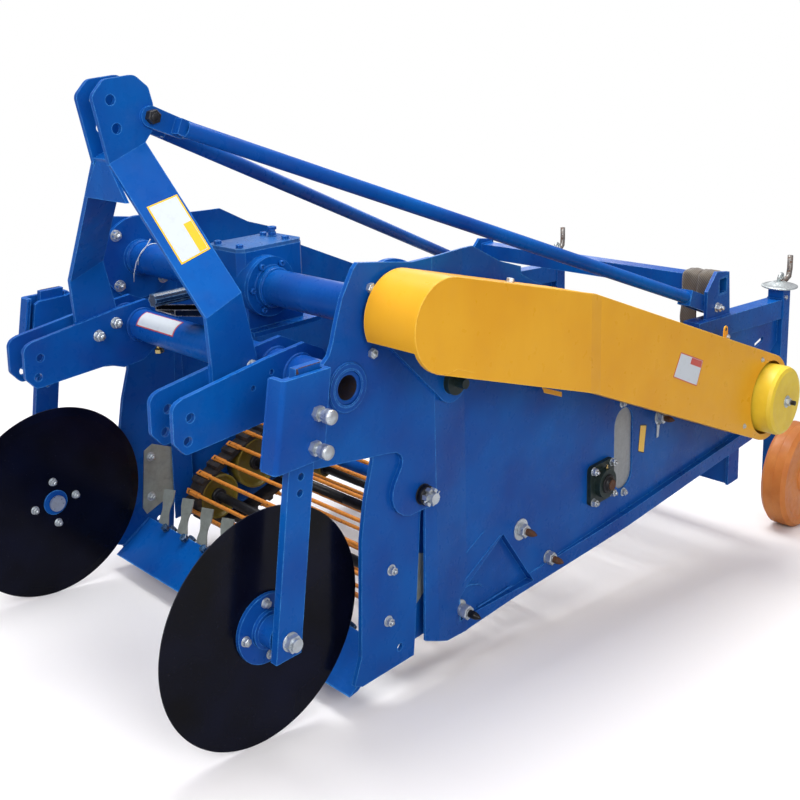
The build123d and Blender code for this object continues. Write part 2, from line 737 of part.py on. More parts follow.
def jack_arm():
    """Square arm with the beam bracket, the jack sleeve and the side gusset."""
    x0, x1 = leg_x - sleeve_half, leg_x + sleeve_half
    front_face = leg_y - sleeve_half

    def top(y):
        return arm_crown - (y - beam_y) * arm_fall

    piece = prism(
        [(arm_front_y, top(arm_front_y) - arm_h), (front_face, top(front_face) - arm_h - 8),
         (front_face, top(front_face)), (arm_front_y, top(arm_front_y))], x0, x1)
    sleeve = block(x0, x1, front_face, leg_y + sleeve_half, sleeve_low, sleeve_high)
    room = sleeve_half - sleeve_wall
    sleeve -= block(leg_x - room, leg_x + room, leg_y - room, leg_y + room, sleeve_low - 1, sleeve_high + 1)
    crown = beam_z + beam_s / 2
    front, rear = beam_y - bracket_reach, beam_y + bracket_heel
    plate = prism([(front, top(front) - 1), (rear, top(rear) - 1), (rear, top(rear) + 14), (rear - 12, crown + 12),
                   (beam_y - 45, crown + 26), (front, crown - 34)], bracket_out - bracket_t, bracket_out)
    half = beam_s / 2 + weld_gap
    plate -= block(bracket_out - bracket_t - 1, bracket_out + 1, beam_y - half, beam_y + half, beam_z - half,
                   beam_z + half)
    gusset = prism([(arm_front_y, top(arm_front_y) - 60), *gusset_low, (front_face, top(front_face) - 60)],
                   wall_in - gusset_t, wall_in)
    gusset -= prism(gusset_slot, wall_in - gusset_t - 1, wall_in + 1)
    gusset -= bar_x(drive_axis, 50, wall_in - gusset_t - 1, wall_in + 1)
    return piece + sleeve + plate + gusset


def rear_beam():
    """Square tube across the machine, through both brackets."""
    half = beam_s / 2
    piece = block(-bracket_out, bracket_out, beam_y - half, beam_y + half, beam_z - half, beam_z + half)
    room = half - beam_wall
    return piece - block(-bracket_out - 1, bracket_out + 1, beam_y - room, beam_y + room, beam_z - room,
                         beam_z + room)


def lower_beam():
    """Tube across under the tail, on end plates against the walls."""
    inner = wall_in - 10
    y0, y1 = low_beam_y - beam_s / 2, low_beam_y + beam_s / 2
    z0, z1 = low_beam_z - low_beam_h / 2, low_beam_z + low_beam_h / 2
    piece = block(-inner, inner, y0, y1, z0, z1)
    piece -= block(-inner - 1, inner + 1, y0 + beam_wall, y1 - beam_wall, z0 + beam_wall, z1 - beam_wall)
    plate = block(inner, wall_in, y0 - 10, y1 + 10, z0, 200)
    return piece + plate + flip(plate)


def crank():
    """Domed cap on the jack sleeve with its folding crank."""
    plane = Plane(origin=(leg_x, leg_y, sleeve_high))
    piece = extrude(plane * Circle(65), amount=7) + extrude(plane * Circle(30), amount=16)
    eye = Plane(origin=(leg_x - 5, leg_y + 12, sleeve_high + 32), x_dir=(0, 1, 0), z_dir=(1, 0, 0))
    ring = extrude(eye * Circle(20) - eye * Circle(10), amount=10)
    handle = tube_between((leg_x, leg_y + 30, sleeve_high + 26), (leg_x, leg_y + 62, sleeve_high + 112), 9, 8.9)
    return piece + ring + handle


def wheel_leg():
    """Inner square leg with the wheel's stub axle."""
    half = sleeve_half - sleeve_wall - leg_gap
    piece = block(leg_x - half, leg_x + half, leg_y - half, leg_y + half, leg_low, leg_high)
    room = half - leg_wall
    piece -= block(leg_x - room, leg_x + room, leg_y - room, leg_y + room, leg_low - 1, leg_high + 1)
    axis = (leg_y, wheel_z)
    piece += bar_x(axis, wheel_pin_r, leg_x - room, wheel_in + wheel_w + 14)
    piece += bar_x(axis, 22, leg_x + half, wheel_in - 1)
    piece += bar_x(axis, 20, wheel_in + wheel_w + 1, wheel_in + wheel_w + 14)
    return piece


def jack_wheel():
    """Moulded wheel: a crowned tread, a flat side and a raised hub."""
    rim = 16.0
    profile = [
        (wheel_in + 14, wheel_pin_r + run_gap), (wheel_in, wheel_pin_r + run_gap), (wheel_in, 40),
        (wheel_in + 10, 48), (wheel_in + 10, wheel_r - 46), (wheel_in + 2, wheel_r - 34), (wheel_in + 2, wheel_r - 14),
        (wheel_in + rim, wheel_r), (wheel_in + wheel_w - rim, wheel_r), (wheel_in + wheel_w - 2, wheel_r - 14),
        (wheel_in + wheel_w - 2, wheel_r - 34), (wheel_in + wheel_w - 10, wheel_r - 46),
        (wheel_in + wheel_w - 10, 48), (wheel_in + wheel_w, 40), (wheel_in + wheel_w, wheel_pin_r + run_gap),
    ]
    face = make_face(Polyline(*[(x, leg_y, wheel_z + r) for x, r in profile], close=True))
    return revolve(face, axis=Axis((0, leg_y, wheel_z), (1, 0, 0)))


# ---- rod-link elevator -------------------------------------------------------------------------


def loop_legs(shift):
    """Straight runs and arcs of the loop, shifted outward: list of (start, end, centre or None, radius, sign)."""
    wheels = [(y, z, r + shift * s, s) for y, z, r, s in loop]
    ends = []
    for here, there in zip(wheels, wheels[1:] + wheels[:1]):
        dy, dz = there[0] - here[0], there[1] - here[1]
        span = math.hypot(dy, dz)
        out = math.atan2(dz, dy) - math.acos((here[2] * here[3] - there[2] * there[3]) / span)
        side = (math.cos(out), math.sin(out))
        ends.append((
            (here[0] + here[2] * here[3] * side[0], here[1] + here[2] * here[3] * side[1]),
            (there[0] + there[2] * there[3] * side[0], there[1] + there[2] * there[3] * side[1]),
        ))
    legs = []
    for k, run in enumerate(ends):
        legs.append((run[0], run[1], None, 0.0, 1))
        wheel = wheels[(k + 1) % len(wheels)]
        legs.append((run[1], ends[(k + 1) % len(ends)][0], wheel[:2], wheel[2], wheel[3]))
    return legs


def loop_outline(shift):
    """Closed wire of the loop in the YZ plane."""
    edges = []
    for start, end, centre, radius, sign in loop_legs(shift):
        if centre is None:
            edges.append(Line((0, *start), (0, *end)))
            continue
        a = math.atan2(start[1] - centre[1], start[0] - centre[0])
        b = math.atan2(end[1] - centre[1], end[0] - centre[0])
        sweep = (b - a) * sign % (2 * math.pi) * sign
        mid = (0, centre[0] + radius * math.cos(a + sweep / 2), centre[1] + radius * math.sin(a + sweep / 2))
        edges.append(ThreePointArc((0, *start), mid, (0, *end)))
    return Wire(edges)


def loop_spots(shift, count, phase):
    """Evenly spaced points along the loop, each with the direction of travel in degrees."""
    legs = []
    for start, end, centre, radius, sign in loop_legs(shift):
        if centre is None:
            legs.append((math.dist(start, end), start, end, None, 0, 0, 1))
            continue
        a = math.atan2(start[1] - centre[1], start[0] - centre[0])
        b = math.atan2(end[1] - centre[1], end[0] - centre[0])
        sweep = (b - a) * sign % (2 * math.pi) * sign
        legs.append((abs(sweep) * radius, start, end, centre, a, sweep, sign))
    total = sum(leg[0] for leg in legs)
    spots = []
    for k in range(count):
        s = (k + phase) * total / count
        for length, start, end, centre, a, sweep, sign in legs:
            if s <= length:
                break
            s -= length
        t = s / length
        if centre is None:
            spot = (start[0] + (end[0] - start[0]) * t, start[1] + (end[1] - start[1]) * t)
            way = math.degrees(math.atan2(end[1] - start[1], end[0] - start[0]))
        else:
            radius = math.dist(start, centre)
            turn = a + sweep * t
            spot = (centre[0] + radius * math.cos(turn), centre[1] + radius * math.sin(turn))
            way = math.degrees(turn) + 90 * sign
        spots.append((spot, way))
    return spots, total


rod_total = loop_spots(0.0, 1, 0.0)[1]
rod_count = round(rod_total / rod_pitch)


def web_rods():
    """Parallel steel rods with flattened ends, riveted across the two belts."""
    solids = []
    near = rod_r - rod_pad_lift
    for spot, way in loop_spots(0.0, rod_count, 0.0)[0]:
        rod = bar_x(spot, rod_r, rod_pad_in - rod_half, rod_half - rod_pad_in)
        foot = along(spot, way, -rod_pad_w / 2, near)
        outline = [foot, along(foot, way, rod_pad_w), along(foot, way, rod_pad_w, -rod_pad_t),
                   along(foot, way, 0, -rod_pad_t)]
        for side in (-1, 1):
            x0, x1 = sorted((side * rod_half, side * (rod_half - rod_pad_l)))
            rod += prism(outline, x0, x1)
        solids.append(rod)
    return solids


def web_belts():
    """Two endless belts; a cleat stands between each pair of rods."""
    outer = -rod_r
    ring = make_face(loop_outline(outer)) - make_face(loop_outline(outer - belt_t))
    belt = extrude(ring, amount=belt_w, dir=(1, 0, 0))
    belt = Pos(belt_x - belt_w / 2, 0, 0) * belt
    cleats = []
    for spot, way in loop_spots(outer, rod_count, 0.5)[0]:
        foot = along(spot, way, -13, 1.0)
        pad = [foot, along(foot, way, 26), along(foot, way, 21, -cleat_h), along(foot, way, 5, -cleat_h)]
        cleats.append(prism(pad, belt_x - belt_w / 2, belt_x + belt_w / 2))
    belt = belt + cleats
    return belt


def rollers(picks, radius_fix):
    """Belt rollers on through shafts, for the loop's picked wheels."""
    solids = []
    for k in picks:
        y, z, r, sign = loop[k]
        if sign > 0:
            body = r - rod_r - belt_t - radius_fix
        else:
            body = r - rod_r - radius_fix
        end = wall_out + 8 if k in shafts_through else wall_in
        shaft = bar_x((y, z), roller_shaft_r, -end, end)
        for side in (-1, 1):
            x0 = side * belt_x - belt_w / 2
            shaft += bar_x((y, z), body, x0, x0 + belt_w)
        solids.append(shaft)
    return solids


def drive_roller():
    """Driven shaft with two toothed drums, carried out to the chain guard."""
    y, z, r, _ = loop[3]
    body = r - rod_r - belt_t - 0.3
    piece = bar_x((y, z), drive_shaft_r, -wall_out - 30, cap_in - 20.2)
    piece += bar_x((y, z), stud_r, cap_in - 20.2, cap_out + 18)
    for side in (-1, 1):
        x0 = side * belt_x - belt_w / 2
        piece += bar_x((y, z), body, x0, x0 + belt_w)
    return piece


def agitator():
    """Shaker shaft under the upper run."""
    piece = bar_x(agitator_axis, drive_shaft_r, -wall_out - 40, wall_out + 40)
    for side in (-1, 1):
        x = side * 300
        lobes = prism([(1262 - 90, 226 - 18), (1262 + 90, 226 - 18), (1262 + 90, 226 + 18), (1262 - 90, 226 + 18)],
                      x - 15, x + 15)
        piece += lobes
    return piece


def flange_bearing(axis, shaft_r):
    """Square flange bearing on the wall's outer face."""
    half = bearing_s / 2
    y, z = axis
    piece = block(wall_out, wall_out + bearing_t, y - half, y + half, z - half, z + half)
    piece = fillet(piece.edges().filter_by(Axis.X), 16)
    piece += bar_x(axis, bearing_hub_r, wall_out + bearing_t, wall_out + bearing_hub_l)
    return piece - bar_x(axis, shaft_r + weld_gap, wall_out - 1, wall_out + bearing_hub_l + 1)


def cross_ties():
    """Tubes that tie the two walls inside the elevator loop."""
    solids = []
    for spot in tie_spots:
        tube = bar_x(spot, tie_r, -wall_in, wall_in)
        solids.append(tube - bar_x(spot, tie_r - tie_wall, -wall_in - 1, wall_in + 1))
    return solids


# ---- chain guard -------------------------------------------------------------------------------


def guard_outline(inset):
    """Closed outline of the chain guard: round ends joined through two bends."""
    front_r = guard_front_r - inset
    rear_r = guard_rear_r - inset
    top = (guard_kink_top[0], guard_kink_top[1] - inset)
    low = (guard_kink_low[0], guard_kink_low[1] + inset)
    a = tangent(axle_axis, front_r, top, 1)
    b = tangent(axle_axis, front_r, low, -1)
    c = tangent(drive_axis, rear_r, top, -1)
    d = tangent(drive_axis, rear_r, low, 1)
    front = (axle_axis[0] - front_r, axle_axis[1])
    rear = (drive_axis[0] + rear_r * math.cos(0.2), drive_axis[1] + rear_r * math.sin(0.2))
    edges = [
        Line((0, *a), (0, *top)), Line((0, *top), (0, *c)),
        ThreePointArc((0, *c), (0, *rear), (0, *d)),
        Line((0, *d), (0, *low)), Line((0, *low), (0, *b)),
        ThreePointArc((0, *b), (0, *front), (0, *a)),
    ]
    return make_face(Wire(edges))


guard_feet = ((840.0, 700.0), (1300.0, 520.0), (1700.0, 360.0))


def guard_space(shift):
    """Plan of the guard's room: its face steps in at the fold."""
    front_out, rear_out = guard_out + guard_step - shift, guard_out - shift
    plan = [(guard_in - 1, 200), (front_out, 200), (front_out, guard_fold[0]), (rear_out, guard_fold[1]),
            (rear_out, 2300), (guard_in - 1, 2300)]
    return extrude(make_face(Polyline(*[(x, y, 0) for x, y in plan], close=True)), amount=1200, dir=(0, 0, 1))


def chain_guard():
    """Sheet cover over the side chain, open to the wall and below its front end, on three spacer feet."""
    width = guard_out + guard_step - guard_in
    piece = extrude(Pos(guard_in, 0, 0) * guard_outline(0), amount=width, dir=(1, 0, 0)) & guard_space(0)
    hollow = extrude(Pos(guard_in - 1, 0, 0) * guard_outline(guard_t), amount=width + 1, dir=(1, 0, 0))
    piece -= hollow & guard_space(guard_t)
    low = guard_kink_low[1] - 60
    mouth = [(200, 908), (440, 880), (830, 780), (830, low), (200, low)]
    piece -= prism(mouth, guard_in - 1, guard_out - guard_t - 1)
    piece -= bar_x(drive_axis, guard_hole_r, guard_out - guard_t - 1, guard_out + 1)
    for spot in guard_feet:
        out = guard_out + guard_step if spot[0] < guard_fold[0] else guard_out
        piece += bar_x(spot, 14, wall_out, out - guard_t)
    return piece


def guard_cap():
    """Moulded cap over the shaft's end."""
    def shell(shift, x_from):
        radius, end, soft = cap_r - shift, cap_out - shift, cap_round - shift
        step = soft * (1 - math.sqrt(0.5))
        points = [(x_from, 0), (x_from, radius), (end - soft, radius), (end - step, radius - step),
                  (end, radius - soft), (end, 0)]
        face = make_face(Polyline(*[(x, drive_axis[0], drive_axis[1] + r) for x, r in points], close=True))
        return revolve(face, axis=Axis((0, *drive_axis), (1, 0, 0)))

    piece = shell(0, cap_in) - shell(cap_t, cap_in - 1)
    piece += bar_x(drive_axis, 24, cap_in - 20, cap_out - 1)
    return piece - bar_x(drive_axis, stud_r + weld_gap, cap_in - 25, cap_out + 1)


def drive_bracket():
    """Plate on the side plate's outer face that carries the chain's idler bearing."""
    touch = math.atan2(lobe_axis[1] - axle_axis[1], lobe_axis[0] - axle_axis[0])
    lead = math.acos((neck_r - lobe_r) / math.dist(lobe_axis, axle_axis))

    def rim(centre, radius, turn):
        return (centre[0] + radius * math.cos(turn), centre[1] + radius * math.sin(turn))

    arms = [rim(axle_axis, neck_r, touch - lead), rim(lobe_axis, lobe_r, touch - lead),
            rim(lobe_axis, lobe_r, touch + lead), rim(axle_axis, neck_r, touch + lead)]
    piece = prism(arms, plate_out, plate_out + bracket_plate_t)
    piece += bar_x(axle_axis, neck_r, plate_out, plate_out + bracket_plate_t)
    piece += bar_x(lobe_axis, lobe_r, plate_out, plate_out + bracket_plate_t)
    piece += bar_x(axle_axis, 30, plate_out + bracket_plate_t, plate_out + 60)
    return piece - bar_x(lobe_axis, idler_r + weld_gap, plate_out - 1, plate_out + bracket_plate_t + 1)


def idler_bearing():
    """Idler's bearing housing and shaft end below the guard."""
    piece = bar_x(lobe_axis, idler_r, plate_out, plate_out + bracket_plate_t + 16)
    return piece + bar_x(lobe_axis, 13, plate_out + bracket_plate_t + 16, plate_out + bracket_plate_t + 44)


def lift_strap():
    """Webbing sling round the rear beam beside its left bracket."""
    half = beam_s / 2
    outer = block(strap_x[0], strap_x[1], beam_y - half - strap_t, beam_y + half + strap_t,
                  beam_z - half - strap_drop, beam_z + half + strap_t)
    inner = block(strap_x[0] - 1, strap_x[1] + 1, beam_y - half, beam_y + half,
                  beam_z - half - strap_drop + strap_t, beam_z + half)
    return outer - inner


# ---- assembly ----------------------------------------------------------------------------------
pairs = {
    "disc_arm": disc_arm(),
    "disc": coulter(),
    "disc_hub": disc_hub(),
    "side_plate": side_plate(),
    "side_wall": side_wall(),
    "mast_bar": mast_bar(),
    "axle_tube": axle_tube(),
    "stay": stay(),
    "jack_arm": jack_arm(),
    "wheel_leg": wheel_leg(),
    "wheel": jack_wheel(),
}
for name, piece in pairs.items():
    nodes[name + "_left"] = [piece]
    nodes[name + "_right"] = [flip(piece)]

both_sides = {
    "stub_axles": [stub_axle()],
    "set_bolts": [set_bolt(spot) for spot in set_bolts],
    "pivot_studs": [pivot_stud()],
    "share_carriers": [carrier()],
    "deflectors": [prism(deflector_outline, carrier_in - deflector_t, carrier_in)],
    "cranks": [crank()],
    "window_covers": [window_cover()],
}
for name, solids in both_sides.items():
    nodes[name] = solids + [flip(piece) for piece in solids]

nodes["share_blade"] = [share_blade()]
nodes["share_fingers"] = fingers()
lugs = [lug(lug_in_x), lug(lug_out_x)]
nodes["hitch_lugs_left"] = lugs
nodes["hitch_lugs_right"] = [flip(piece) for piece in lugs]
nodes["hitch_tube"] = [
    bar_x(tube_axis, tube_r, -plate_out - 6, plate_out + 6)
    - bar_x(tube_axis, tube_r - tube_wall, -plate_out - 7, plate_out + 7)
]
nodes["mast_tie"] = [mast_tie()]
nodes["gearbox"] = [gearbox()]
nodes["gearbox_cover"] = [gearbox_cover()]
nodes["pto_shaft"] = [pto_shaft()]
nodes["pto_shield"] = [pto_shield()]
nodes["rear_beam"] = [rear_beam()]
nodes["lower_beam"] = [lower_beam()]
nodes["web_rods"] = web_rods()
belt = web_belts()
nodes["web_belts"] = [belt, flip(belt)]
nodes["web_rollers"] = rollers((0, 4, 5), 0.3)
nodes["return_roller"] = rollers((2,), 0.3)
nodes["drive_roller"] = [drive_roller()]
nodes["agitator"] = [agitator()]
bearings = [flange_bearing(agitator_axis, drive_shaft_r), flange_bearing(drive_axis, drive_shaft_r)]
nodes["flange_bearings"] = bearings + [flip(piece) for piece in bearings]
nodes["cross_ties"] = cross_ties()
nodes["chain_guard"] = [chain_guard()]
nodes["guard_cap"] = [guard_cap()]
nodes["drive_bracket"] = [drive_bracket()]
nodes["idler_bearing"] = [idler_bearing()]
nodes["lift_strap"] = [lift_strap()]

# ---- stand the machine on its discs and wheels -------------------------------------------------
# one line touches the disc circle and the wheel circle from below; its slope is the park pitch
reach = math.hypot(leg_y - disc_axis[0], wheel_z - disc_axis[1])
dip = math.atan2(wheel_z - disc_axis[1], leg_y - disc_axis[0])
park_pitch = -math.degrees(dip + math.asin((disc_r - wheel_r) / reach))
park = Pos(0, *disc_axis) * Rot(park_pitch, 0, 0) * Pos(0, -disc_axis[0], -disc_axis[1])

whole = Compound([park * solid for solids in nodes.values() for solid in solids])
size = whole.bounding_box()
centre = Pos(-(size.min.X + size.max.X) / 2, -(size.min.Y + size.max.Y) / 2, 0)
place = centre * park

if __name__ == "__main__":
    os.makedirs("parts", exist_ok=True)
    for name, solids in nodes.items():
        placed = [place * solid for solid in solids]
        export_step(placed[0] if len(placed) == 1 else Compound(placed), f"parts/{name}.step")
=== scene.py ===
"""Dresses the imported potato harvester: finishes, fasteners, welds, plates, strap, stage and camera."""

from __future__ import annotations

import logging
import math
import random
from dataclasses import dataclass
from enum import Enum
from typing import Callable, Iterable, Sequence

import bpy
from mathutils import Matrix, Vector

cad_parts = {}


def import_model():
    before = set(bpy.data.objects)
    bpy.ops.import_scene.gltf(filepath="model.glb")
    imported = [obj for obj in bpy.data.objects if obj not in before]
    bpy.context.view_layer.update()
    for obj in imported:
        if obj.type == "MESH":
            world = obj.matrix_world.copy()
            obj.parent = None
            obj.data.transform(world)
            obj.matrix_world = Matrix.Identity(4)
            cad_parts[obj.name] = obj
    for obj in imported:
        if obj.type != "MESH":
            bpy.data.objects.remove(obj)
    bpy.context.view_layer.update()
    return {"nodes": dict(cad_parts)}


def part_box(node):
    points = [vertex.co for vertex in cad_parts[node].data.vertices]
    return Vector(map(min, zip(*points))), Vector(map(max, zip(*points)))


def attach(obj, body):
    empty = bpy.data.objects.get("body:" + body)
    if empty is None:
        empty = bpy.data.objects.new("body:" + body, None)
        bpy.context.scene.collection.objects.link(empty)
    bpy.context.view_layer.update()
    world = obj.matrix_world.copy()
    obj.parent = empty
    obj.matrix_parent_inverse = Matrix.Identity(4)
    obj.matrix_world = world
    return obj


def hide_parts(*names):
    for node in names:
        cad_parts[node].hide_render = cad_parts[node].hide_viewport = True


log = logging.getLogger("harvester")
Point = tuple[float, float, float]
Spot = tuple[float, float]
Box = tuple[float, float, float, float]
Line = tuple[Point, ...]
Profile = tuple[Spot, ...]
SIDES = (("left", 1.0), ("right", -1.0))

# Places that several parts share, in the machine's own frame and in millimetres: X goes to its left,
# Y rearward and Z up, and a spot is a Y with its Z.
OUTWARD: Point = (1.0, 0.0, 0.0)
INWARD: Point = (-1.0, 0.0, 0.0)
UPWARD: Point = (0.0, 0.0, 1.0)
DISC_AXIS: Spot = (0.0, 280.0)
WHEEL_AXIS: Spot = (2511.0, -135.0)
HITCH_TUBE: Spot = (215.0, 803.0)
AXLE: Spot = (372.0, 942.0)
DRIVE_ROLLER: Spot = (2010.0, 335.0)
REAR_BEAM: Spot = (2025.0, 698.0)
PLATE_OUT = 557.0
WALL_OUT = 537.0
SHARP_EDGE = math.radians(35)


# ---- colour and node helpers --------------------------------------------------------------------


def paint(code: str) -> tuple[float, float, float, float]:
    """Linear colour of an sRGB hex code.

    Args:
        code: Six hex digits, such as "1D4F99".

    Returns:
        Linear red, green, blue and an alpha of 1.
    """
    parts = [int(code[k:k + 2], 16) / 255 for k in (0, 2, 4)]
    linear = [c / 12.92 if c <= 0.04045 else ((c + 0.055) / 1.055) ** 2.4 for c in parts]
    return (linear[0], linear[1], linear[2], 1.0)


def add_node(tree: bpy.types.NodeTree, kind: str, settings: dict | None = None,
             inputs: dict | None = None) -> bpy.types.Node:
    """Adds one node with its settings and links.

    Args:
        tree: The material's node tree.
        kind: The node's Blender type name.
        settings: Attributes of the node.
        inputs: Socket name or index to a value, or to an output socket that feeds it.

    Returns:
        The new node.
    """
    node = tree.nodes.new(kind)
    for name, value in (settings or {}).items():
        setattr(node, name, value)
    for key, value in (inputs or {}).items():
        socket = node.inputs[key]
        if isinstance(value, bpy.types.NodeSocket):
            tree.links.new(value, socket)
        else:
            socket.default_value = value
    return node


def grey(value: float) -> tuple[float, float, float, float]:
    """Linear grey of a value."""
    return (value, value, value, 1.0)


@dataclass
class Surface:
    """A material's tree with its shader, object coordinates in metres and output."""

    material: bpy.types.Material
    tree: bpy.types.NodeTree
    shader: bpy.types.Node
    place: bpy.types.NodeSocket

    @classmethod
    def start(cls, name: str) -> "Surface":
        """Makes a material with a Principled shader.

        Args:
            name: The material's name.

        Returns:
            The surface to build on.
        """
        material = bpy.data.materials.new(name)
        material.use_nodes = True
        tree = material.node_tree
        tree.nodes.clear()
        shader = add_node(tree, "ShaderNodeBsdfPrincipled")
        add_node(tree, "ShaderNodeOutputMaterial", inputs={"Surface": shader.outputs[0]})
        place = add_node(tree, "ShaderNodeTexCoord").outputs["Object"]
        return cls(material, tree, shader, place)

    def noise(self, size_mm: float, detail: float = 3.0, rough: float = 0.55,
              stretch: Point | None = None) -> bpy.types.NodeSocket:
        """Noise whose blotches are about size_mm across.

        Args:
            size_mm: Width of a blotch in millimetres.
            detail: Octaves of finer noise.
            rough: Strength of the finer noise.
            stretch: Factors along X, Y and Z.

        Returns:
            The noise value's socket.
        """
        vector = self.place
        if stretch is not None:
            vector = add_node(self.tree, "ShaderNodeMapping", inputs={
                "Vector": vector, "Scale": stretch}).outputs[0]
        return add_node(self.tree, "ShaderNodeTexNoise", inputs={
            "Vector": vector, "Scale": 1000.0 / size_mm, "Detail": detail, "Roughness": rough}).outputs[0]

    def span(self, value: bpy.types.NodeSocket, low: float, high: float, start: float = 0.0,
             end: float = 1.0) -> bpy.types.NodeSocket:
        """Maps a value from one range to another and clamps it.

        Args:
            value: The socket to map.
            low: Value that gives the start.
            high: Value that gives the end.
            start: Result at the low value.
            end: Result at the high value.

        Returns:
            The mapped value's socket.
        """
        return add_node(self.tree, "ShaderNodeMapRange", inputs={
            "Value": value, "From Min": low, "From Max": high, "To Min": start, "To Max": end}).outputs[0]

    def blend(self, amount: bpy.types.NodeSocket, first: object, second: object) -> bpy.types.NodeSocket:
        """Mixes two colours.

        Args:
            amount: Share of the second colour.
            first: Colour or socket.
            second: Colour or socket.

        Returns:
            The mixed colour's socket.
        """
        return add_node(self.tree, "ShaderNodeMix", {"data_type": "RGBA"}, {
            "Factor": amount, 6: first, 7: second}).outputs[2]

    def math(self, operation: str, first: object, second: object) -> bpy.types.NodeSocket:
        """Works out one arithmetic step.

        Args:
            operation: Blender's name of the step.
            first: Number or socket.
            second: Number or socket.

        Returns:
            The result's socket.
        """
        return add_node(self.tree, "ShaderNodeMath", {"operation": operation}, {
            0: first, 1: second}).outputs[0]

    def edge_mask(self, radius_mm: float) -> bpy.types.NodeSocket:
        """How close a point lies to a convex or concave edge, 0 to 1.

        Args:
            radius_mm: Reach of the edge band in millimetres.

        Returns:
            A socket that is 0 on flats and rises towards edges.
        """
        soft = add_node(self.tree, "ShaderNodeBevel", {"samples": 4}, {"Radius": radius_mm / 1000}).outputs[0]
        plain = add_node(self.tree, "ShaderNodeNewGeometry").outputs["Normal"]
        dot = add_node(self.tree, "ShaderNodeVectorMath", {"operation": "DOT_PRODUCT"}, {0: soft, 1: plain})
        # the softened normal leaves the plain one only inside the band
        return self.span(dot.outputs["Value"], 0.995, 0.80)

    def bump(self, height: bpy.types.NodeSocket, depth_mm: float, strength: float = 1.0) -> None:
        """Gives the shader's normal a bump of a real depth.

        Args:
            height: Socket of the height, 0 to 1.
            depth_mm: Depth in millimetres of a height of 1.
            strength: How much of it shows.
        """
        node = add_node(self.tree, "ShaderNodeBump", inputs={
            "Height": height, "Distance": depth_mm / 1000, "Strength": strength})
        self.tree.links.new(node.outputs[0], self.shader.inputs["Normal"])

    def feed(self, **sockets: object) -> None:
        """Sets or links the shader's sockets; an underscore in a name stands for a space."""
        for name, value in sockets.items():
            socket = self.shader.inputs[name.replace("_", " ")]
            if isinstance(value, bpy.types.NodeSocket):
                self.tree.links.new(value, socket)
            else:
                socket.default_value = value


# ---- finishes -----------------------------------------------------------------------------------


@dataclass(frozen=True)
class Enamel:
    """Sprayed enamel on steel plate: pooled colour, orange peel, a painted highlight along the edges, a few
    chips.
    """

    name: str
    body: str
    deep: str
    # colour of the painted highlight along the edges
    edge: str
    chip: str = "4A3226"
    rough: float = 0.3
    shine: float = 0.3
    chips: float = 0.0
    dust: float = 0.06

    def build(self) -> bpy.types.Material:
        """Makes the material.

        Returns:
            The material, its nodes set.
        """
        skin = Surface.start(self.name)
        # sprayed coats pool and thin out over a couple of hands' widths, which varies the depth of colour
        cloud = skin.noise(240, 2.0)
        base = skin.blend(skin.span(cloud, 0.34, 0.7), paint(self.body), paint(self.deep))
        # runs and brush marks give finer streaks down the plate
        streak = skin.span(skin.noise(26, 3.0, 0.6, (1.0, 1.0, 0.3)), 0.45, 0.8, 0.0, 0.3)
        base = skin.blend(streak, base, paint(self.deep))
        # a narrow paler line along the edges is a painted highlight, standing in for the light that a rounded
        # edge catches
        rim = skin.edge_mask(4.0)
        broken = skin.span(skin.noise(14, 2.0), 0.38, 0.6, 0.35, 0.9)
        base = skin.blend(skin.math("MULTIPLY", rim, broken), base, paint(self.edge))
        # fine road dust lies in soft patches
        dust = skin.math("MULTIPLY", skin.span(skin.noise(60, 4.0, 0.65), 0.52, 0.8), self.dust)
        base = skin.blend(dust, base, paint("8C9096"))
        if self.chips > 0:
            # chips down to primer and rust, only where the paint is thin
            spots = skin.span(skin.noise(9, 3.0, 0.7), 0.70 - 0.06 * self.chips, 0.73)
            spots = skin.math("MULTIPLY", spots, skin.span(rim, 0.15, 0.5))
            base = skin.blend(spots, base, paint(self.chip))
        rough = skin.span(skin.noise(35, 3.0), 0.3, 0.75, self.rough * 0.75, self.rough * 1.35)
        skin.feed(Base_Color=base, Roughness=rough, IOR=1.5, Specular_IOR_Level=self.shine)
        # orange peel is about 3 mm from crest to crest and a few hundredths deep
        skin.bump(skin.noise(3.2, 1.0), 0.035, 0.5)
        return skin.material


@dataclass(frozen=True)
class ZincPlate:
    """Electroplated zinc on rolled steel: bright grey with cloudy spangle and faint yellow passivate."""

    name: str
    body: str = "CDD5DB"
    tint: str = "A8AAA2"
    rough: float = 0.3
    stain: float = 0.35
    metal: float = 1.0
    crystal_mm: float = 7.0

    def build(self) -> bpy.types.Material:
        """Makes the material.

        Returns:
            The material, its nodes set.
        """
        skin = Surface.start(self.name)
        # zinc crystals a few millimetres across catch the light one by one
        cell = add_node(skin.tree, "ShaderNodeTexVoronoi", inputs={
            "Vector": skin.place, "Scale": 1000.0 / self.crystal_mm})
        stain = skin.span(skin.noise(30, 3.0), 0.4, 0.7, 0.0, self.stain)
        tone = skin.blend(stain, paint(self.body), paint(self.tint))
        tone = skin.blend(skin.span(cell.outputs["Distance"], 0.1, 0.9, 0.0, 0.18), tone, paint("8F9492"))
        rough = skin.span(skin.noise(12, 3.0), 0.3, 0.7, self.rough * 0.7, self.rough * 1.4)
        skin.feed(Base_Color=tone, Metallic=self.metal, Roughness=rough)
        skin.bump(skin.noise(1.6, 2.0), 0.02, 0.4)
        return skin.material


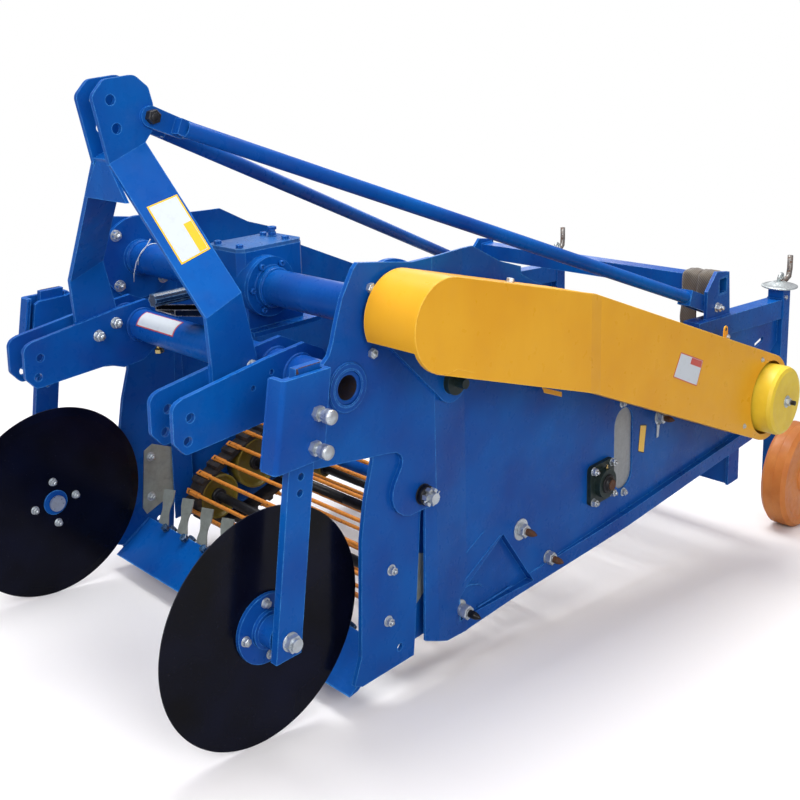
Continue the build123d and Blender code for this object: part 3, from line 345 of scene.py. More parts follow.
@dataclass(frozen=True)
class BareSteel:
    """Turned or rolled steel without paint: grey metal with brown film rust in blotches."""

    name: str
    body: str = "8C8A86"
    rust: str = "5B3A24"
    cover: float = 0.5
    rough: float = 0.42
    metal: float = 0.85

    def build(self) -> bpy.types.Material:
        """Makes the material.

        Returns:
            The material, its nodes set.
        """
        skin = Surface.start(self.name)
        # film rust starts in blotches about a centimetre across and leaves grey metal between them
        blot = skin.span(skin.noise(11, 5.0, 0.65), 0.62 - 0.3 * self.cover, 0.78 - 0.3 * self.cover)
        tone = skin.blend(blot, paint(self.body), paint(self.rust))
        # rust scatters light and is no longer metallic, so both change with the blotch
        skin.feed(Base_Color=tone, Metallic=skin.span(blot, 0.0, 1.0, self.metal, 0.05),
                  Roughness=skin.span(blot, 0.0, 1.0, self.rough, 0.85))
        skin.bump(skin.noise(2.0, 4.0), 0.06, 0.6)
        return skin.material


@dataclass(frozen=True)
class BlackDisc:
    """Hardened steel disc in black stoving paint: deep black with dust specks and a worn bright rim."""

    name: str
    body: str = "06060B"
    haze: str = "0D1024"

    def build(self) -> bpy.types.Material:
        """Makes the material.

        Returns:
            The material, its nodes set.
        """
        skin = Surface.start(self.name)
        # the stoved coat is thicker in soft clouds, where it turns blue-black
        tone = skin.blend(skin.span(skin.noise(220, 2.0), 0.35, 0.75), paint(self.body), paint(self.haze))
        # the rolled rim is rubbed through to grey steel
        tone = skin.blend(skin.math("MULTIPLY", skin.edge_mask(3.0), 0.5), tone, paint("4A4B52"))
        speck = skin.span(skin.noise(5.0, 2.0, 0.7), 0.68, 0.76, 0.0, 0.35)
        tone = skin.blend(speck, tone, paint("3C3D48"))
        skin.feed(Base_Color=tone, Roughness=skin.span(skin.noise(80, 3.0), 0.3, 0.7, 0.12, 0.26), IOR=1.5,
                  Specular_IOR_Level=0.12)
        skin.bump(skin.noise(4.0, 1.0), 0.02, 0.4)
        return skin.material


@dataclass(frozen=True)
class MouldedPlastic:
    """Injection or rotation moulded plastic: even colour, soft sheen, slight sink and scuffs."""

    name: str
    body: str
    deep: str
    scuff: str
    rough: float = 0.38
    grain_mm: float = 2.5
    scatter: float = 0.0

    def build(self) -> bpy.types.Material:
        """Makes the material.

        Returns:
            The material, its nodes set.
        """
        skin = Surface.start(self.name)
        # the pigment settles unevenly in the mould, so the colour drifts over a hand's width
        tone = skin.blend(skin.span(skin.noise(90, 3.0), 0.35, 0.7), paint(self.body), paint(self.deep))
        # handling leaves drawn-out scuffs, duller than the skin
        scuff = skin.span(skin.noise(7, 5.0, 0.7, (1.0, 0.35, 1.0)), 0.60, 0.75, 0.0, 0.35)
        tone = skin.blend(scuff, tone, paint(self.scuff))
        rough = skin.span(skin.noise(20, 3.0), 0.3, 0.7, self.rough * 0.8, self.rough * 1.3)
        skin.feed(Base_Color=tone, IOR=1.49, Roughness=rough)
        if self.scatter > 0:
            # light goes a few millimetres into the plastic, which softens its shaded side
            skin.feed(Subsurface_Weight=self.scatter, Subsurface_Scale=0.008)
        skin.bump(skin.noise(self.grain_mm, 2.0), 0.08, 0.5)
        return skin.material


@dataclass(frozen=True)
class BeltRubber:
    """Black rubber over fabric plies: matt black with a woven print and pale soil dust."""

    name: str
    body: str = "151414"
    dust: str = "4C4036"
    weave_mm: float = 2.4

    def build(self) -> bpy.types.Material:
        """Makes the material.

        Returns:
            The material, its nodes set.
        """
        skin = Surface.start(self.name)
        # the cloth ply prints through the rubber as small squares
        weave = add_node(skin.tree, "ShaderNodeTexChecker", inputs={
            "Vector": skin.place, "Scale": 1000.0 / self.weave_mm})
        soil = skin.span(skin.noise(25, 4.0), 0.45, 0.75, 0.0, 0.6)
        tone = skin.blend(soil, paint(self.body), paint(self.dust))
        skin.feed(Base_Color=tone, Roughness=0.62, IOR=1.5)
        skin.bump(weave.outputs["Fac"], 0.15, 0.35)
        return skin.material


@dataclass(frozen=True)
class Vinyl:
    """Cast vinyl film: clean flat colour under a clear satin layer, with faint grime."""

    name: str
    body: str
    rough: float = 0.3

    def build(self) -> bpy.types.Material:
        """Makes the material.

        Returns:
            The material, its nodes set.
        """
        skin = Surface.start(self.name)
        # grime clings in soft spots, under the sheen of the clear layer
        grime = skin.span(skin.noise(18, 4.0), 0.55, 0.8, 0.0, 0.18)
        skin.feed(Base_Color=skin.blend(grime, paint(self.body), paint("8E8A80")), Roughness=self.rough,
                  Coat_Weight=0.4, Coat_Roughness=0.2, IOR=1.46)
        skin.bump(skin.noise(9, 2.0), 0.03, 0.3)
        return skin.material


@dataclass(frozen=True)
class Webbing:
    """Woven polyester webbing: grey-brown twill with ground-in dirt."""

    name: str
    body: str = "6E675B"
    # colour of the painted shade in the twill's hollows
    deep: str = "453F38"
    # real ribs lie about 1.5 mm apart; this wave draws them about 5.5 mm apart, the least that shows
    wave_mm: float = 2.4

    def build(self) -> bpy.types.Material:
        """Makes the material.

        Returns:
            The material, its nodes set.
        """
        skin = Surface.start(self.name)
        # the twill's ribs run slantwise; the hollows are darkened as painted shade and the crests lightened
        # as a painted highlight
        wave = add_node(skin.tree, "ShaderNodeTexWave", {"bands_direction": "DIAGONAL"}, {
            "Vector": skin.place, "Scale": 1000.0 / self.wave_mm / 6.28, "Distortion": 1.2, "Detail": 1.0})
        tone = skin.blend(wave.outputs["Fac"], paint(self.deep), paint(self.body))
        tone = skin.blend(skin.span(skin.noise(30, 4.0), 0.4, 0.75, 0.0, 0.6), tone, paint("57493A"))
        skin.feed(Base_Color=tone, Roughness=0.85, Sheen_Weight=0.25, Sheen_Roughness=0.5)
        skin.bump(wave.outputs["Fac"], 0.5, 0.6)
        return skin.material


class Finish(Enum):
    """Every finish on the machine; Enamel's colours are its body, its deeper pools and its painted edge
    highlight.
    """

    BLUE = Enamel("blue_enamel_paint", "0858A9", "104190", "4F9CE0", shine=0.12, chips=0.4, dust=0.03)
    AMBER = Enamel("amber_enamel_paint", "E6AA2A", "DF9F22", "F8D25C", rough=0.34, shine=0.16, dust=0.02)
    OLIVE = Enamel("olive_enamel_paint", "7C6E1E", "5E5218", "A89A3C", chips=1.0, dust=0.2, rough=0.4)
    BLACK = BlackDisc("black_stoved_steel")
    DARK_CAST = Enamel("dark_green_cast_iron", "1B2A28", "131E1D", "3E504A", rough=0.42, dust=0.12)
    BLACKED = Enamel("blacked_steel", "17181C", "0E0F12", "3B3D42", rough=0.4, dust=0.1)
    ZINC = ZincPlate("zinc_plated_steel", rough=0.36, metal=0.8)
    CAP_ZINC = ZincPlate("bright_zinc_pressing", "C8D2D2", "AAB2B0", rough=0.34, stain=0.2, metal=0.75)
    DULL_ZINC = ZincPlate("weathered_zinc_sheet", "A9B1A8", "8A8F86", rough=0.5, stain=0.6, metal=0.5)
    COVER_ZINC = ZincPlate("galvanised_cover_sheet", "A6ABAD", "989DA0", rough=0.55, stain=0.4, metal=0.6)
    SHAFT = Enamel("oiled_blue_black_shaft", "173452", "0F2340", "6C9CCB", rough=0.25, shine=0.5, dust=0.05)
    # the gearbox lid is a lighter copy of the blue enamel: dust, and a painted reflection of the sky on its
    # top
    COVER_BLUE_PAINTED_REFLECTION = Enamel("dusty_lid_enamel_painted_sky_reflection", "2A66A8", "1D5090", "74AEE2", dust=0.22)
    GUARD_BLACK = Enamel("black_shaft_guard", "0A0B0E", "060609", "C9CCD0", rough=0.2, shine=0.6, dust=0.05)
    # the hitch tube's bore: a dark violet grey that paints the shade inside the tube, with brown rust
    # blotches
    BORE_SHADE_AND_RUST = BareSteel("painted_shade_and_rust_bore", "2A2636", "2E1F17", cover=0.5, metal=0.2, rough=0.7)
    BRASSY = ZincPlate("yellow_passivated_zinc", "C9B478", "A88B4A", stain=0.8)
    STEEL = BareSteel("turned_steel")
    RUSTY = BareSteel("rusted_stud_steel", "5E4B3C", "54331F", cover=0.9, metal=0.4, rough=0.6)
    COPPER = BareSteel("orange_primed_rod", "D98A34", "9A5420", cover=0.3, rough=0.4, metal=0.15)
    RUBBER = BeltRubber("belt_rubber")
    LEMON = MouldedPlastic("lemon_polythene", "E9CC3A", "DDBB2C", "C3A23A", scatter=0.05)
    ORANGE = MouldedPlastic("orange_polyurethane", "D88740", "C8742F", "9C5C2C", rough=0.46, scatter=0.08)
    WHITE_FILM = Vinyl("white_vinyl_film", "CCD5DA")
    YELLOW_FILM = Vinyl("yellow_vinyl_film", "EDBE24")
    RED_FILM = Vinyl("red_vinyl_film", "C4402C")
    STRAP = Webbing("grey_brown_webbing")


class Palette:
    """Builds each finish once and hands it out."""

    def __init__(self) -> None:
        """Starts with no material made."""
        self.made: dict[Finish, bpy.types.Material] = {}

    def get(self, finish: Finish) -> bpy.types.Material:
        """Gives the material of a finish, made at its first use.

        Args:
            finish: One of the machine's finishes.

        Returns:
            Its material.
        """
        if finish not in self.made:
            self.made[finish] = finish.value.build()
        return self.made[finish]


# ---- the machine's own frame --------------------------------------------------------------------


@dataclass(frozen=True)
class MachineFrame:
    """The machine's square frame in millimetres, and how it stands on the floor."""

    matrix: Matrix

    @classmethod
    def from_pack(cls) -> "MachineFrame":
        """Reads the parked pitch and place from the discs' and wheels' centres.

        Returns:
            The frame whose matrix turns machine millimetres into metres in the scene.
        """
        disc = cls.middle("disc_left")
        wheel = cls.middle("wheel_left")
        real = math.atan2(wheel.z - disc.z, wheel.y - disc.y)
        own = math.atan2(WHEEL_AXIS[1] - DISC_AXIS[1], WHEEL_AXIS[0] - DISC_AXIS[0])
        shift = cls.middle("hitch_tube").x
        matrix = (Matrix.Translation((shift, disc.y, disc.z)) @ Matrix.Rotation(real - own, 4, "X")
                  @ Matrix.Scale(0.001, 4) @ Matrix.Translation((0.0, -DISC_AXIS[0], -DISC_AXIS[1])))
        return cls(matrix)

    @staticmethod
    def middle(node: str) -> Vector:
        """Centre of a CAD node's box."""
        low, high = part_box(node)
        return (low + high) / 2

    def at(self, x: float, y: float, z: float) -> Vector:
        """A machine point in scene metres."""
        return self.matrix @ Vector((x, y, z))


def full_turn(count: int) -> list[float]:
    """Angles in radians that share one full turn evenly."""
    return [2 * math.pi * k / count for k in range(count)]


def on_ring(centre: Spot, radius: float, angle: float) -> Spot:
    """Y and Z of a point on a ring about a centre, at an angle in radians."""
    return (centre[0] + radius * math.cos(angle), centre[1] + radius * math.sin(angle))


class Shape:
    """A mesh gathered from simple forms, in machine millimetres."""

    def __init__(self) -> None:
        """Starts empty."""
        self.points: list[Vector] = []
        self.faces: list[tuple[int, ...]] = []
        self.smooth: list[bool] = []

    def add(self, points: Iterable[Vector], faces: Iterable[Sequence[int]], smooth: bool = False) -> None:
        """Adds points and the faces that join them.

        Args:
            points: New corners.
            faces: Corner numbers, counted from the first new corner.
            smooth: Whether the faces shade smoothly.
        """
        first = len(self.points)
        self.points.extend(Vector(p) for p in points)
        for face in faces:
            self.faces.append(tuple(first + k for k in face))
            self.smooth.append(smooth)

    def lathe(self, origin: Sequence[float], axis: Sequence[float], profile: Sequence[Spot], sides: int = 20,
              smooth: bool = True, turn: float = 0.0, capped: bool = True) -> None:
        """Turns a profile about an axis.

        Args:
            origin: Point on the axis where the profile's reach is 0.
            axis: Direction of the axis.
            profile: Reach along the axis and radius of each ring.
            sides: Corners of each ring.
            smooth: Whether the faces shade smoothly.
            turn: Turn of the first corner, in degrees.
            capped: Whether open ends are closed with flat faces.
        """
        way = Vector(axis).normalized()
        side = way.orthogonal().normalized()
        if abs(way.x) > 0.9:
            side = Vector((0.0, 1.0, 0.0))
        across = way.cross(side)
        start = Vector(origin)
        points = []
        for reach, radius in profile:
            for k in range(sides):
                angle = math.radians(turn) + 2 * math.pi * k / sides
                spoke = side * math.cos(angle) + across * math.sin(angle)
                points.append(start + way * reach + spoke * radius)
        faces = []
        for row in range(len(profile) - 1):
            for k in range(sides):
                n = (k + 1) % sides
                faces.append((row * sides + k, row * sides + n, (row + 1) * sides + n, (row + 1) * sides + k))
        last = (len(profile) - 1) * sides
        if capped and profile[0][1] > 0:
            faces.append(tuple(range(sides - 1, -1, -1)))
        if capped and profile[-1][1] > 0:
            faces.append(tuple(range(last, last + sides)))
        self.add(points, faces, smooth)

    def slab(self, outline: Sequence[Sequence[float]], depth: Sequence[float]) -> None:
        """Makes a plate.

        Args:
            outline: Points of one flat face.
            depth: Way from that face to the other.
        """
        bottom = [Vector(p) for p in outline]
        top = [p + Vector(depth) for p in bottom]
        n = len(bottom)
        faces = [tuple(range(n - 1, -1, -1)), tuple(range(n, 2 * n))]
        faces += [(k, (k + 1) % n, n + (k + 1) % n, n + k) for k in range(n)]
        self.add(bottom + top, faces)

    def tube(self, path: Sequence[Sequence[float]], radius: float, sides: int = 8, closed: bool = False,
             wobble: Callable[[int], float] | None = None) -> None:
        """Round bar along a path of points.

        Args:
            path: Points of the centre line.
            radius: Radius of the bar.
            sides: Corners of each ring.
            closed: Whether the last point joins the first.
            wobble: Factor on the radius at each point.
        """
        line = [Vector(p) for p in path]
        n = len(line)
        points = []
        side = None
        for k, p in enumerate(line):
            before = line[k - 1] if closed or k else p
            after = line[(k + 1) % n] if closed or k < n - 1 else p
            way = (after - before).normalized()
            # each ring keeps the last one's turn, so that the bar doesn't twist
            side = way.orthogonal() if side is None else side - way * side.dot(way)
            side = side.normalized()
            across = way.cross(side)
            r = radius * (wobble(k) if wobble else 1.0)
            for j in range(sides):
                angle = 2 * math.pi * j / sides
                points.append(p + (side * math.cos(angle) + across * math.sin(angle)) * r)
        faces = []
        for k in range(n if closed else n - 1):
            m = (k + 1) % n
            for j in range(sides):
                i = (j + 1) % sides
                faces.append((k * sides + j, k * sides + i, m * sides + i, m * sides + j))
        if not closed:
            faces.append(tuple(range(sides - 1, -1, -1)))
            faces.append(tuple(range((n - 1) * sides, n * sides)))
        self.add(points, faces, True)

    def bead(self, path: Sequence[Sequence[float]], radius: float, closed: bool = False) -> None:
        """Weld bead along a path, rippled as each puddle sets.

        Args:
            path: Corners of the bead's line.
            radius: Half width of the bead.
            closed: Whether the bead meets its own start.
        """
        corners = [Vector(p) for p in path]
        pairs = list(zip(corners, corners[1:] + corners[:1] if closed else corners[1:]))
        line = []
        for start, end in pairs:
            count = max(2, round((end - start).length / (radius * 0.9)))
            line += [start.lerp(end, k / count) for k in range(count)]
        if not closed:
            line.append(corners[-1])
        self.tube(line, radius, 7, closed,
                  lambda k: 1.0 + (0.1 if k % 2 else -0.06) + random.uniform(-0.05, 0.05))

    def ring_bead(self, x: float, axis: Spot, ring: float, radius: float) -> None:
        """Weld bead round a bar that lies along X.

        Args:
            x: Place of the bead along the machine's width.
            axis: Y and Z of the bar's axis.
            ring: Radius of the bar.
            radius: Half width of the bead.
        """
        self.bead([(x, *on_ring(axis, ring, angle)) for angle in full_turn(48)], radius, True)

    def mirrored(self) -> "Shape":
        """Makes the same shape on the machine's other side.

        Returns:
            The mirrored shape, its faces still looking outward.
        """
        other = Shape()
        other.points = [Vector((-p.x, p.y, p.z)) for p in self.points]
        other.faces = [tuple(reversed(face)) for face in self.faces]
        other.smooth = list(self.smooth)
        return other

    def join(self, other: "Shape") -> None:
        """Takes in another shape.

        Args:
            other: Shape whose points and faces are added.
        """
        first = len(self.points)
        self.points.extend(other.points)
        self.faces.extend(tuple(first + k for k in face) for face in other.faces)
        self.smooth.extend(other.smooth)

    def build(self, name: str, machine: MachineFrame, material: bpy.types.Material, body: str,
              slot: str | None = None, bevel_mm: float = 0.0) -> bpy.types.Object:
        """Makes the object and lets it ride on a body.

        Args:
            name: Name of the piece.
            machine: The machine's frame.
            material: Its material.
            body: CAD body that carries it.
            slot: Not used.
            bevel_mm: Width of a bevel on its sharp edges.

        Returns:
            The new object.
        """
        mesh = bpy.data.meshes.new(name)
        mesh.from_pydata([machine.matrix @ p for p in self.points], [], self.faces)
        mesh.polygons.foreach_set("use_smooth", self.smooth)
        mesh.materials.append(material)
        mesh.update()
        piece = bpy.data.objects.new(name, mesh)
        bpy.context.scene.collection.objects.link(piece)
        if bevel_mm > 0:
            bevel = piece.modifiers.new("edges", "BEVEL")
            bevel.width = bevel_mm / 1000
            bevel.segments = 2
            bevel.limit_method = "ANGLE"
            bevel.angle_limit = SHARP_EDGE
        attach(piece, body)
        return piece


# ---- fasteners ----------------------------------------------------------------------------------


@dataclass(frozen=True)
class HexBolt:
    """A hexagon bolt end: washer, nut with chamfered corners, and a threaded stud end."""

    across: float
    stud: float = 0.0
    washer: float = 0.0
    height: float = 0.0

    def build(self, origin: Point, axis: Point, nuts: Shape, studs: Shape, turn: float = 0.0) -> None:
        """Adds the bolt end to the shapes that hold nuts and studs.

        Args:
            origin: Where the washer or nut seats.
            axis: Direction away from the seat.
            nuts: Shape that takes the nut and washer.
            studs: Shape that takes the threaded end.
            turn: Turn of the hexagon in degrees.
        """
        reach = 0.0
        way = Vector(axis).normalized()
        seat = Vector(origin)
        if self.washer:
            thick = 0.1 * self.across
            edge = self.washer
            rim = [(0, edge - 0.6), (0.6, edge), (thick, edge), (thick + 0.1, edge - 0.7)]
            nuts.lathe(seat, way, rim, 28)
            reach = thick
        tall = self.height or 0.62 * self.across
        corner = self.across / math.sqrt(3)
        base = seat + way * reach
        nuts.lathe(base, way, [(0, corner * 0.95), (tall * 0.07, corner), (tall * 0.9, corner),
                               (tall, corner * 0.86)], 6, False, turn)
        if self.stud:
            radius = self.across * 0.31
            pitch = max(1.5, radius * 0.28)
            profile = [(tall * 0.9, radius)]
            mark = tall
            while mark < tall + self.stud - pitch:
                profile += [(mark, radius), (mark + pitch / 2, radius * 0.88)]
                mark += pitch
            profile += [(tall + self.stud, radius * 0.9)]
            studs.lathe(base, way, profile, 14)
        else:
            nuts.lathe(base, way, [(tall, corner * 0.55), (tall + 0.8, corner * 0.5)], 16)


@dataclass(frozen=True)
class CapScrew:
    """A socket head cap screw: a round head with a hexagon recess."""

    head: float
    height: float

    def build(self, origin: Point, axis: Point, heads: Shape) -> None:
        """Adds the screw's head.

        Args:
            origin: Where the head seats.
            axis: Direction away from the seat.
            heads: Shape that takes it.
        """
        head, height, inner, chamfer = self.head, self.height, self.head * 0.5, 1.2
        heads.lathe(origin, axis, [(0, head), (height - chamfer, head), (height, head - chamfer),
                                   (height, inner), (height * 0.45, inner * 0.9)], 18)


# ---- sub-assemblies -----------------------------------------------------------------------------


@dataclass(frozen=True)
class Label:
    """A blank film plate on a flat face, with a border and a coloured block."""

    corners: tuple[Point, Point, Point, Point]
    border_mm: float = 4.0
    lift_mm: float = 0.35
    glue_mm: float = 0.1

    def patch(self, box: Box, layer: int) -> Shape:
        """Film patch inside the label's four corners.

        Args:
            box: Start and end along the first edge and down the label, as shares of its size.
            layer: How many films lie under this one.

        Returns:
            The film as a thin slab.
        """
        first, second, third, fourth = (Vector(c) for c in self.corners)
        normal = (second - first).cross(fourth - first).normalized()
        if normal.x < 0:
            normal.negate()
        u0, v0, u1, v1 = box
        outline = []
        for u, v in ((u0, v0), (u1, v0), (u1, v1), (u0, v1)):
            top, low = first.lerp(second, u), fourth.lerp(third, u)
            outline.append(top.lerp(low, v) + normal * (self.glue_mm + self.lift_mm * layer))
        shape = Shape()
        shape.slab(outline, normal * self.lift_mm)
        return shape

    def inside(self) -> Box:
        """Finds the box left inside the border.

        Returns:
            The box as shares of the label's width and height.
        """
        first, second, _, fourth = (Vector(c) for c in self.corners)
        u = self.border_mm / (second - first).length
        v = self.border_mm / (fourth - first).length
        return (u, v, 1 - u, 1 - v)


@dataclass
class SubAssembly:
    """A part of the machine that is dressed in one go."""

    machine: MachineFrame
    palette: Palette

    def make(self, shape: Shape, name: str, finish: Finish, slot: str | None = None, body: str = "frame",
             bevel_mm: float = 0.0) -> bpy.types.Object:
        """Makes a piece of this sub-assembly and reports it.

        Args:
            shape: The piece's mesh.
            name: The piece's name.
            finish: Its finish.
            slot: Record slot of the finish.
            body: CAD body that carries it.
            bevel_mm: Width of a bevel on its sharp edges.

        Returns:
            The new object.
        """
        piece = shape.build(name, self.machine, self.palette.get(finish), body, slot, bevel_mm)
        log.info("%s: %d faces", name, len(shape.faces))
        return piece

    def make_both(self, shape: Shape, name: str, finish: Finish, slot: str | None = None,
                  bevel_mm: float = 0.0) -> bpy.types.Object:
        """Makes a piece with its mirror image on the machine's other side.

        Args:
            shape: The left side's mesh.
            name: The piece's name.
            finish: Its finish.
            slot: Record slot of the finish.
            bevel_mm: Width of a bevel on its sharp edges.

        Returns:
            The new object, which holds both sides.
        """
        both = shape.mirrored()
        both.join(shape)
        return self.make(both, name, finish, slot, "frame", bevel_mm)

    def make_bolts(self, nuts: Shape, studs: Shape, what: str) -> None:
        """Makes one group's zinc nuts and threaded ends on both sides.

        Args:
            nuts: The left side's nuts and washers.
            studs: The left side's threaded ends.
            what: Name of what the bolts hold.
        """
        self.make_both(nuts, f"{what}_nuts", Finish.ZINC, "zinc_steel")
        self.make_both(studs, f"{what}_studs", Finish.ZINC, "zinc_steel")

    def make_plate(self, name: str, label: Label, border: Finish, film: Finish,
                   block: Box | None = None) -> None:
        """Makes a plate without words: its border, its film and perhaps a block in the border's colour.

        Args:
            name: The plate's name.
            label: Its corners and border.
            border: Finish of the border and the block.
            film: Finish of the film.
            block: Where the block lies, as shares of the label.
        """
        self.make(label.patch((0, 0, 1, 1), 0), f"{name}_border", border)
        self.make(label.patch(label.inside(), 1), name, film)
        if block is not None:
            self.make(label.patch(block, 2), f"{name}_block", border)


@dataclass
class HitchFront(SubAssembly):
    """Linkage lugs, hitch tube and mast: bolts, stay heads, welds and blank plates."""

    tube_axis: Spot = HITCH_TUBE
    tube_r: float = 44.5
    # bolts through lugs and mast feet
    lug_in: float = 292.0
    foot_out: float = 316.0
    lug_bolts: tuple[Spot, ...] = ((79.0, 800.0), (134.0, 825.0))
    lug_nut: HexBolt = HexBolt(across=24, stud=8, washer=16)
    foot_nut: HexBolt = HexBolt(across=24, washer=15)
    stay_pin: Spot = (78.0, 1405.0)
    stay_head_x: float = 52.0
    stay_head: HexBolt = HexBolt(across=32, height=19)
    # drain plug under the tube
    drain_x: float = -222.0
    drain_way: Point = (0.0, 0.1, -1.0)
    drain_boss: Profile = ((0, 8), (17, 8))
    drain_plug: HexBolt = HexBolt(across=25, height=11)
    # the tube's open end: a dark bore of painted shade with some rust, a dark floor that stops the view into
    # it, and the rounded lip
    bore_x: float = 440.0
    bore_wall: Profile = ((0, 28.6), (60, 28.6), (118, 28.7))
    floor_x: float = 470.0
    bore_floor: Profile = ((0, 28.4), (2, 28.4))
    lip_x: float = 551.0
    lip: Profile = ((0, 29), (7.6, 29), (9, 30.5), (9.2, 34), (8.4, 39.1))
    # weld beads: both faces of each lug and the side plate round the tube, then the mast feet
    tube_welds: tuple[float, ...] = (291.0, 305.0, 378.0, 392.0, 544.0)
    tube_bead: float = 4.2
    end_weld_x: float = 558.0
    end_weld_r: float = 57.0
    end_bead: float = 2.8
    foot_weld_x: float = 305.0
    foot_weld_z: Spot = (766.0, 852.0)
    foot_welds: Spot = (22.0, 150.0)
    foot_bead: float = 3.4
    # blank plates
    mast_label: Label = Label((
        (128.9, -1.3, 1203.6), (137.8, 78.1, 1224.6), (235.9, 94.9, 1102.5), (230.6, 16.5, 1077.1)))
    mast_block: Box = (0.68, 0.47, 0.94, 0.965)
    film_steps: int = 14
    film_t: float = 0.25

    def bolts(self) -> None:
        """Zinc bolts through lugs and mast feet, blacked heads at the stays' eyes."""
        nuts, studs, dark = Shape(), Shape(), Shape()
        for spot in self.lug_bolts:
            self.lug_nut.build((self.lug_in, *spot), INWARD, nuts, studs, 7)
            self.foot_nut.build((self.foot_out, *spot), OUTWARD, nuts, studs, 7)
        self.stay_head.build((self.stay_head_x, *self.stay_pin), OUTWARD, dark, dark, 12)
        self.make_bolts(nuts, studs, "lug")
        self.make_both(dark, "stay_eye_heads", Finish.BLACKED, "black_steel")

    def drain(self) -> None:
        """Brassy drain plug on its boss."""
        drain = Shape()
        x, y, z = self.drain_x, self.tube_axis[0] + 6, self.tube_axis[1] - self.tube_r + 1
        drain.lathe((x, y, z), self.drain_way, self.drain_boss, 16)
        self.drain_plug.build((x, y + 1.6, z - 16), self.drain_way, drain, drain, 10)
        self.make(drain, "tube_drain_bolt", Finish.BRASSY, "zinc_steel")

    def tube_ends(self) -> None:
        """Dark bores of painted shade with some rust in the tube's ends, and the rounded lips round them."""
        bore, lip = Shape(), Shape()
        # the bore's wall and floor carry painted shade, so the tube looks dark inside
        bore.lathe((self.bore_x, *self.tube_axis), OUTWARD, self.bore_wall, 48, capped=False)
        bore.lathe((self.floor_x, *self.tube_axis), OUTWARD, self.bore_floor, 32)
        self.make_both(bore, "tube_bores_painted_shade", Finish.BORE_SHADE_AND_RUST, "bare_steel")
        lip.lathe((self.lip_x, *self.tube_axis), OUTWARD, self.lip, 48, capped=False)
        self.make_both(lip, "tube_end_liners", Finish.BLUE, "blue_enamel")

    def welds(self) -> None:
        """Beads round the hitch tube at both lugs and at the side plates, and up the mast feet."""
        beads = Shape()
        for x in self.tube_welds:
            beads.ring_bead(x, self.tube_axis, self.tube_r + 1, self.tube_bead)
        beads.ring_bead(self.end_weld_x, self.tube_axis, self.end_weld_r, self.end_bead)
        for y in self.foot_welds:
            beads.bead([(self.foot_weld_x, y, z) for z in self.foot_weld_z], self.foot_bead)
        self.make_both(beads, "hitch_welds", Finish.BLUE, "blue_enamel")

    def tube_film(self, name: str, span: Spot, turn: Spot, lift: float, finish: Finish) -> None:
        """Film wrapped round part of the hitch tube.

        Args:
            name: The piece's name.
            span: Its start and end along X.
            turn: Its start and end round the tube, in degrees.
            lift: Height of its outer face over the tube.
            finish: Its finish.
        """
        points, steps = [], self.film_steps
        for k in range(steps + 1):
            angle = math.radians(turn[0] + (turn[1] - turn[0]) * k / steps)
            for radius in (self.tube_r + lift - self.film_t, self.tube_r + lift):
                points += [Vector((x, *on_ring(self.tube_axis, radius, angle))) for x in span]
        faces = [(0, 1, 3, 2), tuple(4 * steps + k for k in (0, 2, 3, 1))]
        for k in range(steps):
            n = 4 * k
            faces += [(n + i, n + 4 + i, n + 4 + j, n + j) for i, j in ((0, 1), (1, 3), (3, 2), (2, 0))]
        film = Shape()
        film.add(points, faces)
        self.make(film, name, finish)

    def build(self) -> None:
        """Dresses the whole front."""
        self.bolts()
        self.drain()
        self.tube_ends()
        self.welds()
        # a white plate with a yellow border on the left mast bar, and a film in a thin red border on the tube
        self.make_plate("mast_plate", self.mast_label, Finish.YELLOW_FILM, Finish.WHITE_FILM, self.mast_block)
        self.tube_film("tube_plate_border", (-250.0, -71.0), (96.0, 163.0), 0.3, Finish.RED_FILM)
        self.tube_film("tube_plate", (-246.0, -75.0), (100.0, 159.0), 0.6, Finish.WHITE_FILM)


